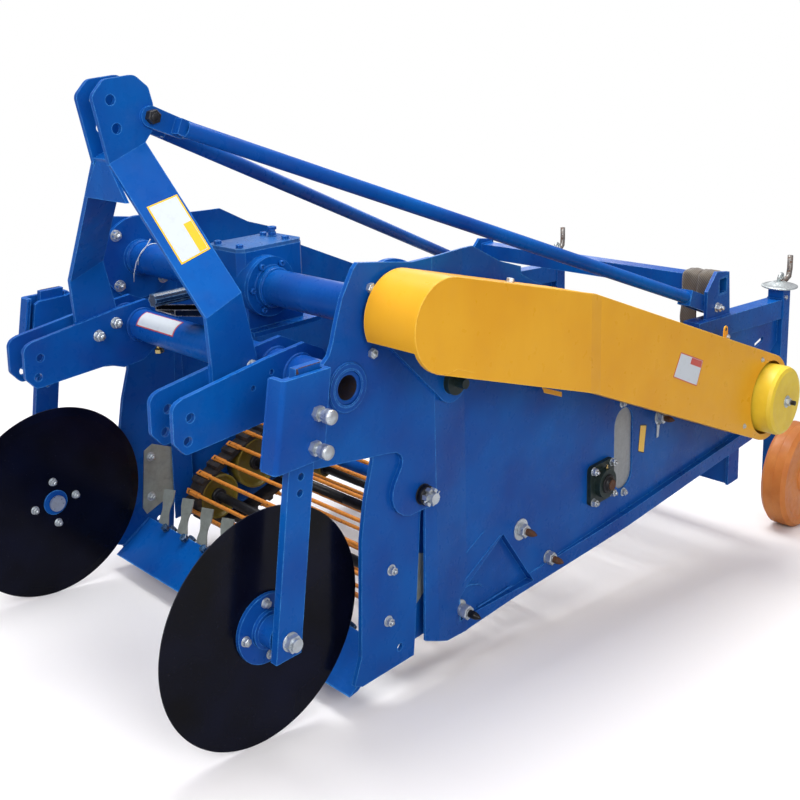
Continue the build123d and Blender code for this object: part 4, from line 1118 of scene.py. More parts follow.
@dataclass
class DriveHead(SubAssembly):
    """Gearbox and axle tubes: cap screws, cover bolts, end flange bolts, welds and a wire tie."""

    axle: Spot = AXLE
    # cap screws in the gearbox's side
    screw_seat: float = 107.0
    screw_ring: float = 66.0
    screw_count: int = 6
    screw: CapScrew = CapScrew(head=8.5, height=11)
    # bolts through the axle tube's end flange
    plate_out: float = PLATE_OUT
    flange_in: float = 533.0
    flange_ring: float = 109.0
    flange_head: HexBolt = HexBolt(across=21, height=12)
    flange_nut: HexBolt = HexBolt(across=25, stud=8, washer=18, height=12.6)
    # gearbox cover with its breather
    cover_top: float = 1047.0
    cover_bolts: tuple[Spot, ...] = ((48.0, 319.0), (48.0, 474.0))
    cover_bolt: HexBolt = HexBolt(across=18, height=9)
    breather: Spot = (-18.0, 482.0)
    breather_base: HexBolt = HexBolt(across=20, washer=13, height=10)
    breather_cap: HexBolt = HexBolt(across=22, height=9)
    breather_rise: float = 18.0
    # weld beads round the axle tube: place, radius of the ring and of the bead
    welds: tuple[Point, ...] = ((126.0, 49.0, 4.5), (516.0, 49.0, 4.5), (108.0, 56.0, 3.5))
    # soft wire on the right axle tube: a part turn, then a tail given from the axle's middle
    tie_x: float = -462.0
    tie_sway: float = 9.0
    tie_ring: float = 50.4
    tie_steps: int = 18
    tie_tail: tuple[Point, ...] = ((-430, -22, 70), (-442, -30, 48), (-454, -45, 26), (-466, -54, 0),
                                   (-478, -57, -34), (-486, -55, -62))

    def wire_tie(self) -> None:
        """Pale wire left round the right axle tube, with a hanging tail."""
        tie, ring = Shape(), []
        for k in range(self.tie_steps + 1):
            angle = math.pi * (0.1 + 0.95 * k / self.tie_steps)
            x = self.tie_x + self.tie_sway * math.sin(angle)
            ring.append((x, *on_ring(self.axle, self.tie_ring, angle)))
        tie.tube(ring, 1.3, 6)
        tie.tube([(x, self.axle[0] + y, self.axle[1] + z) for x, y, z in self.tie_tail], 1.5, 6)
        self.make(tie, "wire_tie", Finish.WHITE_FILM)

    def build(self) -> None:
        """Adds the fasteners, the welds and the tie."""
        screws, nuts, studs, beads, vent = Shape(), Shape(), Shape(), Shape(), Shape()
        for k in range(self.screw_count):
            spot = on_ring(self.axle, self.screw_ring, math.radians(60 * k))
            self.screw.build((self.screw_seat, *spot), OUTWARD, screws)
        for k in range(4):
            spot = on_ring(self.axle, self.flange_ring, math.radians(45 + 90 * k))
            self.flange_head.build((self.plate_out, *spot), OUTWARD, nuts, studs, 10 * k)
            self.flange_nut.build((self.flange_in, *spot), INWARD, nuts, studs, 30)
        for spot in self.cover_bolts:
            self.cover_bolt.build((*spot, self.cover_top), UPWARD, screws, screws, spot[1])
        for x, ring, bead in self.welds:
            beads.ring_bead(x, self.axle, ring, bead)
        self.make_both(screws, "gearbox_screws", Finish.BLUE, "blue_enamel")
        self.make_bolts(nuts, studs, "axle_flange")
        self.make_both(beads, "axle_welds", Finish.BLUE, "blue_enamel")
        self.breather_base.build((*self.breather, self.cover_top), UPWARD, vent, vent, 20)
        self.breather_cap.build((*self.breather, self.cover_top + self.breather_rise), UPWARD, vent, vent, 5)
        self.make(vent, "breather_hexagons", Finish.BLUE, "blue_enamel")
        self.wire_tie()


@dataclass
class Coulters(SubAssembly):
    """Disc hubs' bolts, which turn with the discs, and the arms' washers, clamp welds and bare ends."""

    axis: Spot = DISC_AXIS
    # bolts through disc and hub
    ring: float = 64.0
    outer: float = 499.5
    inner: float = 484.5
    first_turn: float = 2.6
    hub_head: HexBolt = HexBolt(across=17, washer=12)
    hub_nut: HexBolt = HexBolt(across=17, stud=7, washer=12)
    # washer on the stub axle and collars under the clamp's set bolts
    washer_x: float = 577.0
    washer: Profile = ((0, 21.4), (0.6, 22), (3, 22), (3.2, 21))
    collar_x: float = 629.0
    collars: tuple[Spot, ...] = ((94.0, 786.0), (80.0, 711.0))
    collar: Profile = ((0, 15.2), (1, 16.6), (11, 16.6), (13.4, 14.8))
    # beads up the clamp's outer and front edges
    outer_weld: Line = ((559, 109, 682), (559, 138, 874))
    front_weld: Line = ((544, -28, 682), (544, 6, 874))
    # brown mill scale where the flat bar was sawn off
    front_scale: Line = ((565, 53.6, 878), (577.4, 53.6, 878), (577.4, 53.6, 890.4), (563, 53.6, 890.4))
    side_scale: Line = ((577.1, 53.6, 878), (577.1, 60, 878), (577.1, 57, 890.4), (577.1, 53.6, 890.4))
    scale_edge: Line = ((577, 60, 890), (577, 90, 890.2), (577, 121, 890))

    def hub_bolts(self, name: str, side: float) -> None:
        """Four bolts of one disc.

        Args:
            name: The side's name.
            side: 1 on the left and -1 on the right.
        """
        heads, nuts = Shape(), Shape()
        for k in range(4):
            spot = on_ring(self.axis, self.ring, math.radians(self.first_turn + 90 * k))
            self.hub_head.build((side * self.outer, *spot), (side, 0, 0), heads, heads, 15 * k)
            self.hub_nut.build((side * self.inner, *spot), (-side, 0, 0), nuts, nuts, 15 * k)
        self.make(heads, f"disc_bolts_{name}", Finish.ZINC, "zinc_steel", f"disc_{name}")
        self.make(nuts, f"disc_nuts_{name}", Finish.ZINC, "zinc_steel", f"disc_{name}")

    def build(self) -> None:
        """Dresses both discs and both arms."""
        for name, side in SIDES:
            self.hub_bolts(name, side)
        washers, beads, scale = Shape(), Shape(), Shape()
        washers.lathe((self.washer_x, *self.axis), OUTWARD, self.washer, 36)
        beads.bead(self.outer_weld, 4.0)
        beads.bead(self.front_weld, 3.4)
        for spot in self.collars:
            washers.lathe((self.collar_x, *spot), OUTWARD, self.collar, 24)
        self.make_both(washers, "stub_washers", Finish.ZINC, "zinc_steel")
        scale.slab(self.front_scale, (0, 0.5, 0))
        scale.slab(self.side_scale, (0.4, 0, 0))
        scale.tube(self.scale_edge, 0.9, 6)
        self.make_both(scale, "arm_end_scale", Finish.RUSTY, "bare_steel")
        self.make_both(beads, "clamp_welds", Finish.BLUE, "blue_enamel")


@dataclass
class SidePlates(SubAssembly):
    """Share carriers' bolts and the castle nut with its split pin on the pivot stud."""

    plate_out: float = PLATE_OUT
    # bolts through share carrier and side plate, as they stand outside and inside
    carrier_out: float = 545.0
    carrier_in: float = 530.0
    outer_nut: HexBolt = HexBolt(across=19, stud=5, washer=14)
    outer_spots: tuple[Spot, ...] = ((349.0, 299.0), (333.0, 169.0))
    inner_nut: HexBolt = HexBolt(across=19, stud=7, washer=15)
    inner_spots: tuple[Spot, ...] = ((352.0, 298.0), (344.0, 166.0))
    # castle nut: washer, hexagon, round crown behind six slotted teeth
    pivot: Spot = (455.0, 465.0)
    washer: Profile = ((0, 26), (3, 27), (3, 26))
    hexagon: Profile = ((0, 22.4), (1, 23.1), (17, 23.1))
    crown: Profile = ((-14, 25.5), (0, 25), (2, 23))
    tooth_turn: float = 18.0
    tooth_reach: Spot = (15.0, 23.0)
    tooth_half: float = 5.6
    tooth_tall: float = 14.0
    stud_r: float = 14.6
    root_r: float = 13.8
    pitch: float = 2.2
    pin_r: float = 2.2

    def teeth(self, stud: Shape) -> None:
        """Adds the six teeth between the castle nut's slots.

        Args:
            stud: Shape that takes them.
        """
        root = Vector((self.plate_out + 19, *self.pivot))
        near, far = self.tooth_reach
        for k in range(6):
            angle = math.radians(30 + self.tooth_turn + 60 * k)
            way = Vector((0, math.cos(angle), math.sin(angle)))
            half = Vector((0, -way.z, way.y)) * self.tooth_half
            stud.slab([root + way * near - half, root + way * far - half, root + way * far + half,
                       root + way * near + half], (self.tooth_tall, 0, 0))

    def castle_nut(self) -> None:
        """Blacked castle nut, zinc stud end with thread, and the pin's bent legs."""
        nut, stud, pin = Shape(), Shape(), Shape()
        x, (y, z) = self.plate_out, self.pivot
        nut.lathe((x, y, z), OUTWARD, self.washer, 30)
        nut.lathe((x + 3, y, z), OUTWARD, self.hexagon, 6, False, self.tooth_turn)
        self.teeth(stud)
        nut.lathe((x + 17, y, z), OUTWARD, self.crown, 30)
        thread = [(k * self.pitch, self.stud_r if k % 2 else self.root_r) for k in range(1, 6)]
        stud.lathe((x + 20.5, y, z), OUTWARD, [(0, self.stud_r), *thread, (13, 13), (14, 11)], 24)
        for lean in (0.5, -0.7):
            tip = (x + 30, y + 29, z + 14 * lean)
            pin.tube([(x + 27, y - 25, z - 6), (x + 27, y + 24, z - 3), tip], self.pin_r, 6)
        self.make_both(nut, "castle_nuts", Finish.BLACKED, "black_steel")
        self.make_both(stud, "pivot_threads", Finish.ZINC, "zinc_steel")
        self.make_both(pin, "split_pins", Finish.ZINC, "zinc_steel")

    def build(self) -> None:
        """Adds every fastener of the side plates."""
        nuts, studs = Shape(), Shape()
        for spot in self.outer_spots:
            self.outer_nut.build((self.carrier_out, *spot), OUTWARD, nuts, studs, 20)
        for spot in self.inner_spots:
            self.inner_nut.build((self.carrier_in, *spot), INWARD, nuts, studs, 4)
        self.make_bolts(nuts, studs, "carrier")
        self.castle_nut()


@dataclass
class Share(SubAssembly):
    """Lifting fingers with two nuts each, and the share's end welds."""

    count: int = 10
    pitch: float = 102.0
    # a finger's centre line in Y and Z: flat foot, bend and slanting tip
    foot: Spot = (305.0, 61.0)
    heel: Spot = (337.0, 82.5)
    tip: Spot = (374.0, 205.0)
    finger_t: float = 4.0
    bow: float = -3.0
    tip_cut: float = 10.0
    # share of the way from heel to tip, -1 at the foot, and half the width there
    widths: Profile = ((-1.0, 23.0), (0.0, 23.0), (0.12, 25.0), (0.24, 22.0), (0.33, 18.5), (0.42, 17.5),
                       (0.51, 19.0), (0.6, 23.0), (0.7, 27.0), (0.82, 27.5), (1.0, 27.5))
    # nuts beside each finger, on the foot's slope and on the heel's
    nut_side: float = 38.0
    foot_nut: HexBolt = HexBolt(across=22, height=15)
    foot_spot: Spot = (323.5, 96.0)
    foot_way: Point = (0.0, -0.536, 0.844)
    heel_nut: HexBolt = HexBolt(across=24, washer=15, height=12)
    heel_spot: Spot = (341.0, 84.0)
    heel_way: Point = (0.0, 0.844, 0.536)
    end_weld: Line = ((531.5, 232, 35), (531.5, 331, 97))

    def places(self) -> list[float]:
        """Middle of each finger along X."""
        return [(k - (self.count - 1) / 2) * self.pitch for k in range(self.count)]

    def fingers(self) -> None:
        """Sprung strips with a waist, a bent foot and a slanting tip."""
        foot, heel, tip = Vector(self.foot), Vector(self.heel), Vector(self.tip)
        rise = (tip - heel).normalized()
        back = Vector((-rise.y, rise.x)) * self.finger_t
        blades = Shape()
        for x in self.places():
            points, faces = [], []
            for share, half in self.widths:
                spot = foot if share < 0 else heel.lerp(tip, share)
                bow = self.bow * math.sin(math.pi * max(share, 0.0))
                for side in (-1, 1):
                    # the tip is cut on the slant, so its right corner stands lower
                    drop = self.tip_cut * rise if share == 1.0 and side < 0 else Vector((0, 0))
                    near = spot - drop - Vector((0, bow))
                    points += [Vector((x + side * half, *near)), Vector((x + side * half, *(near + back)))]
            for n in range(len(self.widths) - 1):
                a = 4 * n
                faces += [(a, a + 2, a + 6, a + 4), (a + 1, a + 5, a + 7, a + 3), (a, a + 4, a + 5, a + 1),
                          (a + 2, a + 3, a + 7, a + 6)]
            end = 4 * (len(self.widths) - 1)
            faces += [(0, 1, 3, 2), (end, end + 2, end + 3, end + 1)]
            blades.add(points, faces)
        piece = self.make(blades, "lifting_fingers", Finish.DULL_ZINC, "zinc_steel")
        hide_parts("share_fingers")

    def build(self) -> None:
        """Adds the fingers, two nuts to each and the welds."""
        self.fingers()
        nuts, beads = Shape(), Shape()
        for k, x in enumerate(self.places()):
            self.foot_nut.build((x + self.nut_side, *self.foot_spot), self.foot_way, nuts, nuts, 17 * k)
            self.heel_nut.build((x + self.nut_side, *self.heel_spot), self.heel_way, nuts, nuts, 30)
        self.make(nuts, "finger_nuts", Finish.SHAFT, "black_steel")
        beads.bead(self.end_weld, 3.6)
        self.make_both(beads, "share_welds", Finish.BLUE, "blue_enamel")


@dataclass
class Walls(SubAssembly):
    """Side walls: shaft nuts, cover bolts, shaker bearings, seams and a blank yellow plate."""

    out: float = WALL_OUT
    # shafts with a nut on the wall: Y, Z and the washer's radius
    shafts: tuple[Point, ...] = ((872.0, 210.0, 31.0), (1609.0, 335.0, 27.0), (999.0, 77.0, 20.0))
    shaft_nut_across: float = 34.0
    shaft_nut_height: float = 20.0
    thread_r: float = 10.6
    root_r: float = 9.6
    thread_pitch: float = 2.4
    # the front shaft stands out on a spacer with two washers beside it
    front_shaft: Spot = (607.0, 81.0)
    front_seat: float = 553.0
    spacer: Profile = ((0, 16), (18, 16))
    front_washer: Profile = ((0, 25), (4, 25), (4.6, 24))
    small_washer_spot: Spot = (596.0, 112.0)
    small_washer: Profile = ((0, 12), (3.2, 12), (3.6, 11))
    # lock strip below the rear shaft's nut
    lock_strip: tuple[Spot, ...] = ((1596, 316), (1612, 314), (1606, 268), (1594, 266))
    # bolts of the slot's cover, above and below
    cover_spots: tuple[Spot, ...] = ((1387.0, 442.0), (1400.0, 143.0))
    cover_bolt: HexBolt = HexBolt(across=17, stud=4, washer=14)
    # square flange bearing of the shaker shaft
    bearing: Spot = (1262.0, 226.0)
    bearing_half: float = 50.0
    bearing_seat: float = 551.0
    bearing_bolt: HexBolt = HexBolt(across=20, stud=6, washer=13)
    ring_x: float = 571.0
    inner_ring: Profile = ((-1, 30), (4, 29), (4.6, 25), (4, 20.5), (12, 20), (13, 18.5))
    shaft_tip: Profile = ((12, 16.5), (17, 16.5), (18, 15))
    nipple_x: float = 562.0
    nipple_spot: Spot = (1268.0, 271.0)
    nipple: Profile = ((-2, 4.5), (4, 4.5), (5, 2.6), (8, 2.6), (9, 3.6), (12, 2.4))
    # welded seams of the pressed-in corner, each with its bead's radius
    seams: tuple[tuple[float, tuple[Spot, ...]], ...] = (
        (2.2, ((611, 143), (640, 158), (700, 187), (782, 226))),
        (2.0, ((638, 229), (676, 248), (717, 265))),
        (2.2, ((684, 52), (760, 53), (831, 54))),
        (1.6, ((612, 131), (650, 131), (690, 118), (706, 104))))
    # plate that closes the slit between side plate and wall
    closing_x: float = 524.0
    closing: tuple[Spot, ...] = ((432, 425), (505, 425), (500, 62), (425, 62))
    label: tuple[Spot, Spot, Spot, Spot] = ((1495, 340), (1535, 329), (1521, 235), (1484, 252))

    def shaft_end(self, spot: Spot, x: float, washer: float, nuts: Shape, ends: Shape) -> None:
        """Nut on a threaded shaft end.

        Args:
            spot: Y and Z of the shaft.
            x: Where the washer seats.
            washer: Radius of the washer, or 0.
            nuts: Shape that takes the nut and washer.
            ends: Shape that takes the dark threaded end.
        """
        nut = HexBolt(across=self.shaft_nut_across, washer=washer, height=self.shaft_nut_height)
        nut.build((x, *spot), OUTWARD, nuts, ends, 12)
        rings = [(20 + self.thread_pitch * k, self.thread_r if k % 2 else self.root_r) for k in range(9)]
        ends.lathe((x, *spot), OUTWARD, [(19, self.thread_r), *rings, (46, 8.4), (57, 2.2)], 18)

    def fasteners(self) -> None:
        """Shaft nuts, washers, cover bolts and bearing bolts of both walls."""
        nuts, ends, studs, tips = Shape(), Shape(), Shape(), Shape()
        for y, z, washer in self.shafts:
            self.shaft_end((y, z), self.out, washer, nuts, ends)
        self.shaft_end(self.front_shaft, self.front_seat, 0.0, nuts, tips)
        nuts.lathe((self.out - 2, *self.front_shaft), OUTWARD, self.spacer, 28)
        nuts.lathe((self.out - 1, *self.front_shaft), OUTWARD, self.front_washer, 32)
        nuts.lathe((self.out - 1, *self.small_washer_spot), OUTWARD, self.small_washer, 24)
        nuts.slab([(self.out + 0.5, y, z) for y, z in self.lock_strip], (3, 0, 0))
        for spot in self.cover_spots:
            self.cover_bolt.build((self.out, *spot), OUTWARD, nuts, studs, 9)
        for y in (-self.bearing_half, self.bearing_half):
            for z in (-self.bearing_half, self.bearing_half):
                place = (self.bearing_seat, self.bearing[0] + y, self.bearing[1] + z)
                self.bearing_bolt.build(place, OUTWARD, nuts, studs, y + z)
        self.make_both(nuts, "wall_nuts", Finish.ZINC, "zinc_steel", 0.6)
        self.make_both(studs, "wall_studs", Finish.ZINC, "zinc_steel")
        self.make_both(ends, "shaft_threads", Finish.RUSTY, "bare_steel")
        self.make_both(tips, "front_shaft_threads", Finish.BLACKED, "black_steel")

    def close_seams(self) -> None:
        """Weld seams of the pressed-in corner and the plate in the slit in front of the wall."""
        seams, plate = Shape(), Shape()
        for radius, line in self.seams:
            seams.bead([(self.out, y, z) for y, z in line], radius)
        self.make_both(seams, "wall_seams", Finish.BLUE, "blue_enamel")
        plate.slab([(self.closing_x, y, z) for y, z in self.closing], (3, 0, 0))
        self.make_both(plate, "gap_closing_plates", Finish.BLUE, "blue_enamel")

    def bearings(self) -> None:
        """Inner ring, shaft end and grease nipple of each shaker bearing."""
        ring, core, nipple = Shape(), Shape(), Shape()
        ring.lathe((self.ring_x, *self.bearing), OUTWARD, self.inner_ring, 32)
        self.make_both(ring, "bearing_inner_rings", Finish.BLACKED, "black_steel")
        core.lathe((self.ring_x, *self.bearing), OUTWARD, self.shaft_tip, 28)
        self.make_both(core, "shaker_shaft_ends", Finish.RUSTY, "bare_steel")
        nipple.lathe((self.nipple_x, *self.nipple_spot), (0, 0.2, 1), self.nipple, 12)
        self.make_both(nipple, "grease_nipples", Finish.BRASSY, "zinc_steel")

    def build(self) -> None:
        """Adds seams, fasteners and bearings to both walls, and the left wall's plate."""
        self.close_seams()
        self.fasteners()
        self.bearings()
        first, second, third, fourth = ((self.out, y, z) for y, z in self.label)
        label = Label((first, second, third, fourth), 3.0)
        self.make_plate("wall_plate", label, Finish.BLACKED, Finish.YELLOW_FILM)


@dataclass
class ChainGuard(SubAssembly):
    """Guard over the side chain: screws, hanging tab, rolled hem, blank plate and the cap's nut."""

    axle: Spot = AXLE
    drive: Spot = DRIVE_ROLLER
    face: float = 720.0
    front_face: float = 727.0
    # screws in the flat face, on the rim's top, and in the tab
    face_spots: tuple[Spot, ...] = ((1953.0, 482.0), (1839.0, 281.0))
    face_screw: HexBolt = HexBolt(across=11, washer=9, height=5)
    rim_spot: Point = (640.0, 700.0, 968.5)
    rim_way: Point = (0.0, 0.25, 0.968)
    rim_screw: HexBolt = HexBolt(across=17, washer=12, height=9)
    tab_screw_spot: Point = (604.0, 1934.0, 545.0)
    tab_screw: HexBolt = HexBolt(across=12, washer=10, height=6)
    # nut and stud that hold the round cap
    cap_end: float = 784.0
    cap_nut: HexBolt = HexBolt(across=24, washer=21, height=12)
    stud_r: float = 8.3
    root_r: float = 7.5
    pitch: float = 1.6
    # hanging tab with a dark disc of painted shade for its hole, and the foot that carries the guard
    tab_x: float = 600.0
    tab_t: float = 4.0
    tab_eye: Spot = (1921.0, 574.0)
    tab_eye_r: float = 13.0
    tab_end: tuple[Spot, Spot] = ((1904, 520), (1944, 505))
    hole: Profile = ((0, 5.5), (0.2, 5.5))
    foot_x: float = 571.0
    foot: tuple[Spot, ...] = ((925, 622), (1016, 584), (1016, 570), (935, 603))
    # rolled edge: round ends as radius, first degree and sweep, joined at two kinks
    front_end: Point = (109.0, 75.0, 208.0)
    rear_end: Point = (147.0, -112.0, 188.0)
    end_steps: int = 12
    kink_top: Spot = (955.0, 901.0)
    kink_low: Spot = (962.0, 628.0)
    face_step_y: float = 930.0
    hem_r: float = 1.6
    label: tuple[Spot, Spot, Spot, Spot] = ((1409, 637), (1545, 579), (1509, 505), (1367, 570))
    label_block: Box = (0.5, 0.05, 0.965, 0.3)

    def round_end(self, centre: Spot, end: Point) -> list[Spot]:
        """Points round one end of the guard's face.

        Args:
            centre: Y and Z of the end's middle.
            end: Its radius, first degree and sweep in degrees.

        Returns:
            The points in Y and Z.
        """
        radius, start, sweep = end
        return [on_ring(centre, radius, math.radians(start + sweep * k / self.end_steps))
                for k in range(self.end_steps + 1)]

    def hem(self) -> Shape:
        """Rolls the edge where the flat face turns into the rim, along the top and the round ends.

        Returns:
            The rolled edge.
        """
        front = self.round_end(self.axle, self.front_end)
        rear = self.round_end(self.drive, self.rear_end)
        path = [((self.front_face if y < self.face_step_y else self.face) - 0.6, y, z)
                for y, z in (*front, self.kink_low, *rear, self.kink_top)]
        rolled = Shape()
        rolled.tube(path, self.hem_r, 6, True)
        return rolled

    def screws(self) -> None:
        """Zinc screws of the guard, and the cap's nut with its blacked stud."""
        screws, thread = Shape(), Shape()
        for spot in self.face_spots:
            self.face_screw.build((self.face, *spot), OUTWARD, screws, screws, 14)
        self.rim_screw.build(self.rim_spot, self.rim_way, screws, screws, 5)
        self.tab_screw.build(self.tab_screw_spot, OUTWARD, screws, screws, 5)
        self.cap_nut.build((self.cap_end, *self.drive), OUTWARD, screws, screws, 8)
        self.make(screws, "guard_screws", Finish.ZINC, "zinc_steel", bevel_mm=0.4)
        rings = [(12 + self.pitch * k, self.stud_r if k % 2 else self.root_r) for k in range(1, 12)]
        thread.lathe((self.cap_end, *self.drive), OUTWARD, [(11, self.stud_r), *rings, (30, 6.4)], 16)
        self.make(thread, "cap_stud_thread", Finish.BLACKED, "black_steel")

    def tabs(self) -> None:
        """The hanging tab, the guard's foot and a dark disc of painted shade where the tab's hole shows."""
        tab, foot, hole = Shape(), Shape(), Shape()
        eye = [on_ring(self.tab_eye, self.tab_eye_r, math.pi * k / 8) for k in range(9)]
        tab.slab([(self.tab_x, y, z) for y, z in reversed((*eye, *self.tab_end))], (self.tab_t, 0, 0))
        foot.slab([(self.foot_x, y, z) for y, z in self.foot], (3, 0, 0))
        tab.join(foot)
        self.make(tab, "guard_tabs", Finish.AMBER, "amber_enamel", bevel_mm=0.8)
        # the hole is not cut: a thin black disc on the tab's face paints the shade seen in it
        hole.lathe((self.tab_x + self.tab_t + 0.1, *self.tab_eye), OUTWARD, self.hole, 16)
        self.make(hole, "tab_hole_painted_shade", Finish.BLACKED, "black_steel")

    def build(self) -> None:
        """Adds what the guard and its cap carry."""
        self.screws()
        self.tabs()
        self.make(self.hem(), "guard_hem", Finish.AMBER, "amber_enamel")
        first, second, third, fourth = ((self.face, y, z) for y, z in self.label)
        label = Label((first, second, third, fourth), 3.0)
        self.make_plate("guard_plate", label, Finish.RED_FILM, Finish.WHITE_FILM, self.label_block)


@dataclass(frozen=True)
class Drum:
    """A belt drum: its axis in Y and Z, its radius and where its shaft ends."""

    axis: Spot
    r: float
    shaft_end: float

    def sunk(self) -> float:
        """How far the face lies inside the rim: deep in wide drums, shallow in narrow ones."""
        return 14.0 if self.r > 50 else 4.0

    def rim(self) -> list[Spot]:
        """Lays out the drum's end: sunk face, rounded rim and the tread's first stretch.

        Returns:
            The profile: reach along the axle and radius.
        """
        sunk, r = self.sunk(), self.r
        face = [(sunk, 25), (sunk, r - 13), (sunk - 2, r - 10), (1.5, r - 7), (0, r - 5.5)]
        return [*face, (0, r - 1), (1, r), (61, r), (62, r - 1), (62, 15)]

    def seal(self) -> list[Spot]:
        """Profile of the sealed bearing in the drum's face."""
        return [(self.sunk() + 1, 25.5), (1, 25.5), (0.4, 23), (2.2, 22.4), (2.2, 18), (0, 17), (0, 14.9)]


@dataclass
class Elevator(SubAssembly):
    """Belt drums, and the rivets that hold the rods' flattened ends to the belts."""

    rod_half: float = 495.0
    # rivets: distance of each from the rod's end, height of the seat over the pad, and head
    insets: Spot = (14.0, 46.0)
    seat: float = 2.8
    head: float = 5.6
    # how far from a rod's end, from its pad's first corner and from one another corners may lie
    end_slack: float = 0.4
    pad_reach: float = 25.0
    same_corner: float = 0.5
    # drums by the node that they stand for
    drum_in: float = 430.0
    shaft_r: float = 14.9
    drums: tuple[tuple[str, tuple[Drum, ...]], ...] = (
        ("web_rollers", (Drum((540.0, 128.0), 73.7, 531.0), Drum((1609.0, 335.0), 70.7, 545.0),
                         Drum((700.0, 195.0), 85.7, 531.0))),
        ("return_roller", (Drum((999.0, 77.0), 31.7, 545.0),)))

    def pads(self, rods: bpy.types.Object) -> list[tuple[Vector, Vector]]:
        """Middle and outward direction of each rod's flat end, read from the rods' mesh.

        Args:
            rods: The CAD object of all rods.

        Returns:
            A middle and a unit normal in machine millimetres, for the left ends.
        """
        back = self.machine.matrix.inverted()
        groups: list[list[Vector]] = []
        for vertex in rods.data.vertices:
            place = back @ vertex.co
            if abs(place.x - self.rod_half) > self.end_slack:
                continue
            group = next((g for g in groups if (g[0] - place).length < self.pad_reach), None)
            if group is None:
                groups.append([place])
            elif all((p - place).length > self.same_corner for p in group):
                group.append(place)
        whole = sum((g[0] for g in groups), Vector()) / max(1, len(groups))
        found = []
        for group in groups:
            middle = sum(group, Vector()) / len(group)
            edges = sorted(((p - q) for p in group for q in group if p is not q), key=lambda e: e.length)
            normal = edges[0].normalized()
            if normal.dot(middle - whole) < 0:
                normal.negate()
            found.append((middle, normal))
        return found

    def rollers(self) -> None:
        """Belt drums with a sunk inner face, a sealed bearing each and dark through shafts."""
        for node, drums in self.drums:
            rims, shafts = Shape(), Shape()
            for drum in drums:
                rims.lathe((self.drum_in, *drum.axis), OUTWARD, drum.rim(), 44, capped=False)
                shafts.lathe((self.drum_in, *drum.axis), OUTWARD, drum.seal(), 30, capped=False)
                end, r = drum.shaft_end, self.shaft_r
                shafts.lathe((0, *drum.axis), OUTWARD, [(0, r), (end - 1.5, r), (end, 13.5)], 20)
            self.make_both(shafts, f"{node}_shafts", Finish.BLACKED, "black_steel")
            piece = self.make_both(rims, f"{node}_drums", Finish.OLIVE, "olive_rollers")
            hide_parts(node)

    def build(self, rods: bpy.types.Object) -> None:
        """Adds the drums and two rivets to each flat end.

        Args:
            rods: The CAD object of all rods.
        """
        self.rollers()
        heads = Shape()
        dome = [(0, self.head), (1.4, self.head * 0.88), (2.6, self.head * 0.5), (3.0, 0)]
        for middle, normal in self.pads(rods):
            for inset in self.insets:
                place = Vector((self.rod_half - inset, middle.y, middle.z)) + normal * self.seat
                heads.lathe(place, normal, dome, 10)
        self.make_both(heads, "rod_rivets", Finish.RUSTY, "bare_steel")


